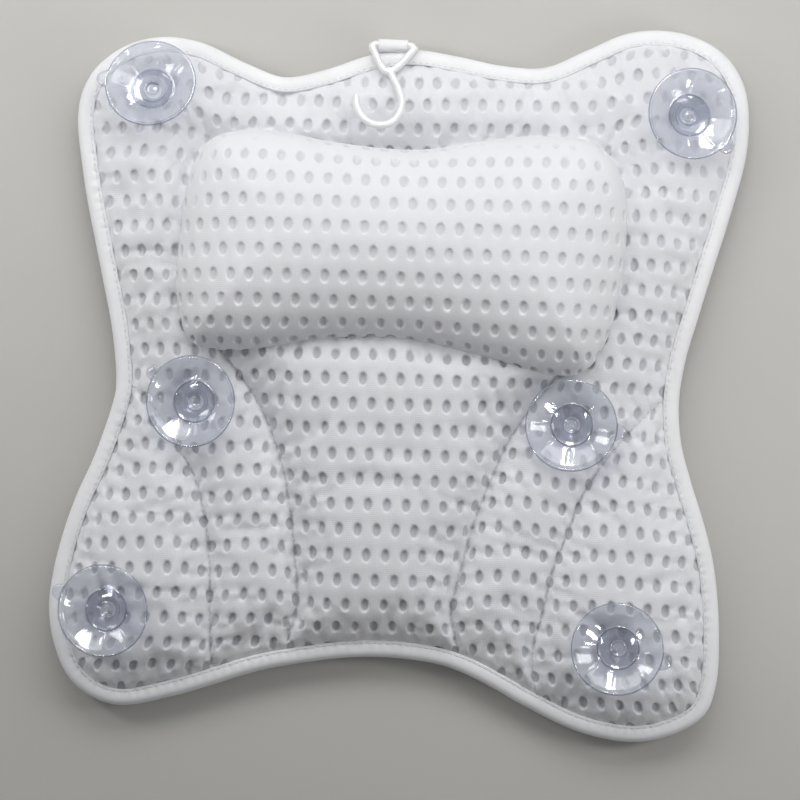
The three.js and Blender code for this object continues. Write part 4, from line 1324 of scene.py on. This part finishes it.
class PILLOW_OT_edge_binding(bpy.types.Operator):
    """Models the tape that is folded over the edge"""
    bl_idname = "bath_pillow.edge_binding"
    bl_label = "Edge Binding"

    def execute(self, context):
        line = smooth_line(plan().edge, True, TAPE_STEP)
        section = tape_section()
        mesh, points, column, row = swept("edge_tape", line, section)
        points[:, 2] += self.gathers(len(line), column, section[row])
        set_map(mesh, np.stack([column * TAPE_STEP, row * TAPE_RING_STEP], 1))
        set_points(mesh, points)
        finish_mesh(mesh, SAME_PLACE / 5)
        piece = new_object("edge_tape", mesh)
        dressed(piece, tape_material(), "pillow", "tape", "edge_binding")
        return {"FINISHED"}

    def gathers(self, count, column, place):
        """Small uneven waves along the tape's seam"""
        rng = np.random.default_rng(7)
        tone = np.convolve(rng.normal(size=count + 8), np.ones(9) / 9, "valid")[:count]
        phase = math.tau * column / count
        waves = round(count * TAPE_STEP / TAPE_GATHER_PITCH)
        wave = np.sin(phase * waves + tone[column % count] * 3)
        seam = EDGE_INSET + TAPE_FLANGE - STITCH_MARGIN * 1.6
        near_seam = np.exp(-((place[:, 0] - seam) / TAPE_GATHER_WIDTH) ** 2)
        strength = 0.55 + 0.45 * np.sin(phase * 7 + 2 * np.sin(phase * 3))
        middle = (BINDING_HIGH.z + BINDING_LOW.z) / 2
        side = np.sign(place[:, 1] - middle)
        return side * wave * strength * near_seam * TAPE_GATHER


def stitch_row(name, line, closed, lift):
    """Stitches laid end to end along a line, each a small rounded capsule"""
    sizes = settings().stitch
    ends = smooth_line(line, closed, sizes.pitch)
    following = np.roll(ends, -1, 0)
    if not closed:
        ends, following = ends[:-1], following[:-1]
    shape = bmesh.new()
    size = Matrix.Diagonal((sizes.length / 2, sizes.radius, sizes.radius, 1))
    bmesh.ops.create_uvsphere(shape, u_segments=8, v_segments=5, radius=1, matrix=size)
    piece = new_object(name, as_mesh(shape, name))
    repeated(piece, "Stitches", len(ends), (sizes.pitch, 0, 0))
    whole = settle(piece)
    points = mesh_points(whole)
    count = np.rint(points[:, 0] / sizes.pitch).astype(int)
    points[:, 0] -= count * sizes.pitch
    along = unit(following - ends)
    across = unit(np.cross((0, 0, 1), along))
    above = np.cross(along, across)
    placed = ((ends + following) / 2 + (0, 0, lift))[count]
    for axis, way in enumerate((along, across, above)):
        placed += way[count] * points[:, axis:axis + 1]
    set_points(whole, placed)
    set_smooth(whole)
    return piece


class PILLOW_OT_stitches(bpy.types.Operator):
    """Models the sewing of the edge, the quilting and the neck roll"""
    bl_idname = "bath_pillow.stitches"
    bl_label = "Stitches"

    def execute(self, context):
        lines = plan()
        edge = lines.edge_stitches.copy()
        edge[:, 2] = BINDING_HIGH.z - 0.25 * MM
        rows = [("edge_stitches", edge, True, "edge_thread"),
                ("neck_roll_stitches", lines.roll_stitches, True, "neck_roll_thread")]
        rows += [(name + "_stitches", seam, False, name + "_thread")
                 for name, seam in lines.seams.items()]
        for name, line, closed, node in rows:
            piece = stitch_row(name, line, closed, (0.2 if closed else -0.1) * MM)
            dressed(piece, thread_material(), "pillow", "thread", node)
        return {"FINISHED"}


# A cup's release tab, by node: where it points, in degrees, in the cup's own frame
TAB_DEGREES = {"cup_upper_left": 175, "cup_upper_right": -40, "cup_middle_left": 145,
               "cup_middle_right": -5, "cup_lower_left": 160, "cup_lower_right": -12}

# How thick the cloth is that a cup's neck passes through, the ribs under its bowl, and the
# width of the rim that its tab grows from
CUP_CLOTH = 3.3 * MM
CUP_RIBS, CUP_RIB_HEIGHT = 8, 0.5 * MM
CUP_RIM_WIDTH = 1.5 * MM


def cup_profile():
    """Half a cup's section, from the bottom of its head to the middle of its hub. The lists
    hold how far from the axis and how high each corner lies, in millimetres."""
    sizes = settings().cup
    collar = sizes.collar_height / MM
    floor = collar + sizes.wall / MM
    rim = floor + sizes.depth / MM
    radius, hub, depth = sizes.radius / MM, sizes.hub_radius / MM, sizes.depth / MM
    cloth = CUP_CLOTH / MM
    shares = np.linspace(0.09, 0.86, 9)
    bowl = [(hub + (radius - hub) * share, share ** 1.35) for share in shares]
    neck = [(0, -cloth - 2.2), (7, -cloth - 2.2), (7.8, -cloth - 1.2), (7.4, -cloth),
            (4.4, -cloth), (4.4, 0.3), (6.5, 0.3), (6.8, 0.7), (6.8, collar - 0.2),
            (7.2, collar)]
    under = [(r, collar - 0.1 + (depth - 0.2) * rise) for r, rise in bowl]
    edge = [(radius, rim - 1.0), (radius - 0.1, rim - 0.5), (radius - 0.5, rim - 0.12),
            (radius - 1.0, rim), (radius - 1.5, rim - 0.14)]
    inner = [(r, floor + (depth - 0.9) * rise) for r, rise in bowl[::-1]]
    ring = [(hub + 0.9, floor + 0.12), (hub + 0.5, floor + 0.55), (hub, floor + 0.8),
            (hub - 0.5, floor + 0.55), (hub - 0.65 * sizes.wall / MM, floor + 0.1)]
    dimple = [(5.2, floor), (4.1, floor + 0.15), (3.5, floor - 0.2), (3.1, floor - 0.9),
              (1.6, floor - 0.9), (1.0, floor - 0.5), (0, floor - 0.45)]
    return [(r * MM, z * MM) for r, z in neck + under + edge + inner + ring + dimple]


def cup_mesh(name, tab_degrees):
    """A cup in its own frame: its section spun round, then ribbed and given its tab"""
    sizes = settings().cup
    shape = bmesh.new()
    corners = [shape.verts.new((r, 0, z)) for r, z in cup_profile()]
    edges = [shape.edges.new(pair) for pair in zip(corners, corners[1:])]
    bmesh.ops.spin(shape, geom=corners + edges, cent=(0, 0, 0), axis=(0, 0, 1),
                   angle=math.tau, steps=sizes.sides, use_merge=True)
    bmesh.ops.remove_doubles(shape, verts=shape.verts, dist=SAME_PLACE / 5)
    bmesh.ops.recalc_face_normals(shape, faces=shape.faces)
    mesh = as_mesh(shape, name)
    points = mesh_points(mesh)
    radius = np.hypot(points[:, 0], points[:, 1])
    angle = np.arctan2(points[:, 1], points[:, 0])
    in_bowl = np.clip((radius - sizes.hub_radius - 1 * MM) / (3 * MM), 0, 1)
    in_bowl *= np.clip((sizes.radius - 2 * MM - radius) / (5 * MM), 0, 1)
    ribs = np.maximum(0, np.cos(angle * CUP_RIBS + 0.4)) ** 16
    below_rim = points[:, 2] < sizes.collar_height + sizes.depth
    points[:, 2] -= ribs * in_bowl * CUP_RIB_HEIGHT * below_rim
    from_tab = np.abs((np.degrees(angle) - tab_degrees + 180) % 360 - 180)
    half = np.degrees(sizes.tab_width / 2 / sizes.radius)
    reach = np.sqrt(np.clip(1 - (from_tab / half) ** 2, 0, 1))
    at_rim = np.clip((radius - sizes.radius + CUP_RIM_WIDTH) / CUP_RIM_WIDTH, 0, 1)
    grown = 1 + reach * at_rim * sizes.tab_length / np.maximum(radius, MM)
    points[:, :2] *= grown[:, None]
    outward = np.hypot(points[:, 0], points[:, 1]) / sizes.radius * RIM_SHARE
    set_map(mesh, np.stack([outward, angle / math.tau + 0.5], 1), "Cup", 1)
    set_points(mesh, points)
    set_smooth(mesh)
    return mesh


class PILLOW_OT_suction_cups(bpy.types.Operator):
    """Models the clear suction cups"""
    bl_idname = "bath_pillow.suction_cups"
    bl_label = "Suction Cups"

    def execute(self, context):
        for node, (place, axis, body) in cup_places().items():
            mesh = cup_mesh("clear_" + node, TAB_DEGREES[node])
            turn = Vector((0, 0, 1)).rotation_difference(axis).to_matrix().to_4x4()
            mesh.transform(Matrix.Translation(place) @ turn)
            piece = new_object("clear_" + node, mesh)
            dressed(piece, vinyl_material(), body, "clear_vinyl", node)
        return {"FINISHED"}


# The hook's J from the eye's point to its tip: across as a share of its width, and away
# from the bar as a share of its length
HOOK_SHARES = [(-0.07, 0.31), (0.05, 0.44), (0.17, 0.58), (0.24, 0.72), (0.2, 0.87), (0.06, 0.985),
               (-0.16, 1.035), (-0.4, 1.01), (-0.58, 0.92), (-0.68, 0.81), (-0.71, 0.7)]

# The tape loop: the gap round the bar, how far its tails are tucked in, and how finely it
# is laid out along and across
LOOP_GAP, LOOP_TUCK = 0.1 * MM, 3 * MM
LOOP_STEP, LOOP_COLUMNS = 0.7 * MM, 14

# Steps along the hook's wire and over its finished skin
WIRE_STEP, MOULDED_STEP = 0.8 * MM, 0.35 * MM


def wire(name, points, closed, radius):
    """A round wire along a smooth line, as a mesh"""
    curve = bpy.data.curves.new(name, "CURVE")
    curve.dimensions = "3D"
    curve.bevel_depth = radius
    curve.bevel_resolution = 6
    curve.use_fill_caps = True
    line = smooth_line(np.array(points), closed, WIRE_STEP)
    spline = curve.splines.new("POLY")
    spline.points.add(len(line) - 1)
    spline.use_cyclic_u = closed
    for point, place in zip(spline.points, line):
        point.co = (*place, 1)
    source = new_object(name, curve)
    mesh = evaluated_mesh(source)
    bpy.data.objects.remove(source)
    bpy.data.curves.remove(curve)
    return mesh


class PILLOW_OT_hanger(bpy.types.Operator):
    """Models the hook and the tape loop that holds it"""
    bl_idname = "bath_pillow.hanger"
    bl_label = "Hanger"

    def execute(self, context):
        joint = next(joint for joint in frame["joints"] if joint["name"] == "hook_swing")
        bar = Vector(joint["pos_m"])
        self.make_hook(bar)
        self.make_loop(bar)
        return {"FINISHED"}

    def make_hook(self, bar):
        sizes = settings().hook
        radius = sizes.wire_radius
        half = sizes.bar_length / 2
        straight = [(x, 0, 0) for x in np.linspace(1 * MM - half, half - 1 * MM, 5)]
        apex = (HOOK_SHARES[0][0] * sizes.width, sizes.eye_length, 0)
        eye = [(-half, 2.6 * MM, 0), (-half + 0.1 * MM, 1.2 * MM, 0), *straight,
               (half - 0.1 * MM, 1.2 * MM, 0), (half, 2.6 * MM, 0), apex]
        shank = [(x * sizes.width, y * sizes.length, 0) for x, y in HOOK_SHARES]
        shape = bmesh.new()
        for name, points, closed in (("eye", eye, True), ("shank", shank, False)):
            part = wire(name, points, closed, radius)
            shape.from_mesh(part)
            bpy.data.meshes.remove(part)
        bmesh.ops.create_uvsphere(shape, u_segments=24, v_segments=16, radius=radius,
                                  matrix=Matrix.Translation(shank[-1]))
        piece = new_object("moulded_hook", as_mesh(shape, "moulded_hook"))
        remesh = piece.modifiers.new("One body", "REMESH")
        remesh.mode = "VOXEL"
        remesh.voxel_size = MOULDED_STEP
        even = piece.modifiers.new("Even", "SMOOTH")
        even.factor = 0.5
        even.iterations = 4
        whole = settle(piece)
        whole.transform(Matrix.Translation(bar)
                        @ Matrix.Rotation(math.pi - sizes.lie, 4, "X"))
        set_smooth(whole)
        dressed(piece, plastic_material(), "hanger", "white_plastic", "hook")

    def make_loop(self, bar):
        sizes = settings().hook
        clear = sizes.wire_radius + LOOP_GAP + sizes.loop_thickness / 2
        low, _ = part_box("hanging_loop")
        inner_y = low.y - LOOP_TUCK
        lower = (BINDING_HIGH.z + BINDING_LOW.z) / 2
        turns = np.linspace(math.pi * 0.95, -math.pi * 0.4, 16)
        around = [(bar.y + clear * math.cos(t), bar.z + clear * math.sin(t)) for t in turns]
        path = np.array([(inner_y, lower + 1.6 * MM), (bar.y - 3.5 * MM, lower + 2.2 * MM)]
                        + around + [(bar.y - 2.6 * MM, lower + 0.6 * MM), (inner_y, lower)])
        path = smooth_line(path, False, LOOP_STEP)
        mesh, column, row = grid_mesh("tape_loop", LOOP_COLUMNS, len(path) - 1)
        points = np.empty((len(row), 3))
        points[:, 0] = bar.x + (column / LOOP_COLUMNS - 0.5) * sizes.loop_width
        points[:, 1:] = path[row]
        set_map(mesh, np.stack([points[:, 0], row * LOOP_STEP], 1))
        set_points(mesh, points)
        set_smooth(mesh)
        piece = new_object("tape_loop", mesh)
        thick = piece.modifiers.new("Thickness", "SOLIDIFY")
        thick.thickness = sizes.loop_thickness
        thick.offset = 0
        dressed(piece, tape_material(), "pillow", "tape", "hanging_loop")


# Where the lamps point and where the camera looks
LIT = Vector((0, 0.02, 0.02))
LOOKED_AT = Vector((1.0, -14.9, 20)) * MM

# Panes that only glossy pieces mirror: name, place, size and share of the window's power
PANES = (("window", (0.05, 0.75, 0.75), (0.34, 0.7), 1.0),
         ("left_pane", (-0.45, -0.5, 0.6), (0.08, 0.3), 0.2),
         ("right_pane", (0.5, -0.45, 0.6), (0.08, 0.3), 0.2))


def area_light(name, place, size, power):
    data = bpy.data.lights.new(name, "AREA")
    data.shape = "RECTANGLE"
    data.size, data.size_y = size
    data.energy = power
    lamp = new_object(name, data)
    lamp.location = place
    lamp.rotation_euler = (LIT - Vector(place)).to_track_quat("-Z", "Y").to_euler()
    return lamp


class PILLOW_OT_stage(bpy.types.Operator):
    """Sets out the floor, the lights and the camera"""
    bl_idname = "bath_pillow.stage"
    bl_label = "Stage"

    def execute(self, context):
        stage = settings().stage
        self.add_floor()
        area_light("key", (0.02, 0.34, 0.38), (0.9, 0.24), stage.key_power)
        area_light("left", (-0.55, 0.15, 0.38), (0.12, 0.3), stage.left_power)
        area_light("right", (0.5, -0.05, 0.36), (0.12, 0.3), stage.right_power)
        for name, place, size, share in PANES:
            pane = area_light(name, place, size, stage.window_power * share)
            pane.visible_diffuse = False
        self.add_sky(context.scene, stage)
        self.add_camera(context.scene, stage)
        context.scene.view_settings.view_transform = "Standard"
        return {"FINISHED"}

    def add_floor(self):
        shape = bmesh.new()
        bmesh.ops.create_grid(shape, x_segments=1, y_segments=1, size=4)
        mesh = as_mesh(shape, "floor")
        mesh.transform(Matrix.Translation((0, 0, -0.2 * MM)))
        mesh.materials.append(material("Floor", settings().finish.floor, 0.9)[0])
        floor = new_object("floor", mesh)

    def add_sky(self, scene, stage):
        """A soft sky that is brighter beyond the hook and at the sides"""
        world = bpy.data.worlds.new("Soft sky")
        world.use_nodes = True
        tree = world.node_tree
        back = tree.nodes["Background"]
        back.inputs["Color"].default_value = (0.97, 0.98, 1.0, 1)
        place = add_node(tree, "ShaderNodeTexCoord")
        apart = add_node(tree, "ShaderNodeSeparateXYZ")
        tree.links.new(place.outputs["Generated"], apart.inputs["Vector"])
        from_top = worked(tree, "MULTIPLY", apart.outputs["Y"], stage.sky_slope)
        sides = worked(tree, "ABSOLUTE", apart.outputs["X"])
        from_sides = worked(tree, "MULTIPLY", sides, stage.sky_sides)
        level = worked(tree, "ADD", worked(tree, "ADD", from_top, from_sides), 1.0)
        level = worked(tree, "MULTIPLY", level, stage.sky_strength)
        tree.links.new(level, back.inputs["Strength"])
        scene.world = world

    def add_camera(self, scene, stage):
        data = bpy.data.cameras.new("camera")
        data.sensor_width = 36
        data.lens = 18 / (stage.view_width / 2 / stage.camera_distance)
        data.clip_start, data.clip_end = 0.05, 20
        camera = new_object("camera", data)
        turn, lift = stage.camera_turn, stage.camera_elevation
        back = Vector((math.sin(turn) * math.cos(lift), -math.cos(turn) * math.cos(lift),
                       math.sin(lift)))
        camera.location = LOOKED_AT + back * stage.camera_distance
        camera.rotation_euler = (-back).to_track_quat("-Z", "Y").to_euler()
        scene.camera = camera


class PILLOW_PT_panel(bpy.types.Panel):
    """Lists the pillow's pieces in the order in which they are made"""
    bl_idname = "PILLOW_PT_panel"
    bl_label = "Bath Pillow"
    bl_space_type = "VIEW_3D"
    bl_region_type = "UI"
    bl_category = "Bath Pillow"

    def draw(self, context):
        for operator in OPERATORS:
            self.layout.operator(operator.bl_idname)


OPERATORS = (PILLOW_OT_stage, PILLOW_OT_front_cover, PILLOW_OT_rear_cover,
             PILLOW_OT_neck_roll, PILLOW_OT_edge_binding, PILLOW_OT_stitches,
             PILLOW_OT_suction_cups, PILLOW_OT_hanger)
GROUPS = (ClothSizes, RollSizes, CupSizes, HookSizes, StitchSizes, StageSettings, Finishes,
          PillowSettings)


def register():
    for item in (*GROUPS, *OPERATORS, PILLOW_PT_panel):
        bpy.utils.register_class(item)
    bpy.types.Scene.bath_pillow = PointerProperty(type=PillowSettings)


def unregister():
    del bpy.types.Scene.bath_pillow
    for item in reversed((*GROUPS, *OPERATORS, PILLOW_PT_panel)):
        bpy.utils.unregister_class(item)


def main():
    register()
    for operator in OPERATORS:
        getattr(bpy.ops.bath_pillow, operator.bl_idname.split(".")[1])()


if __name__ == "__main__":
    main()
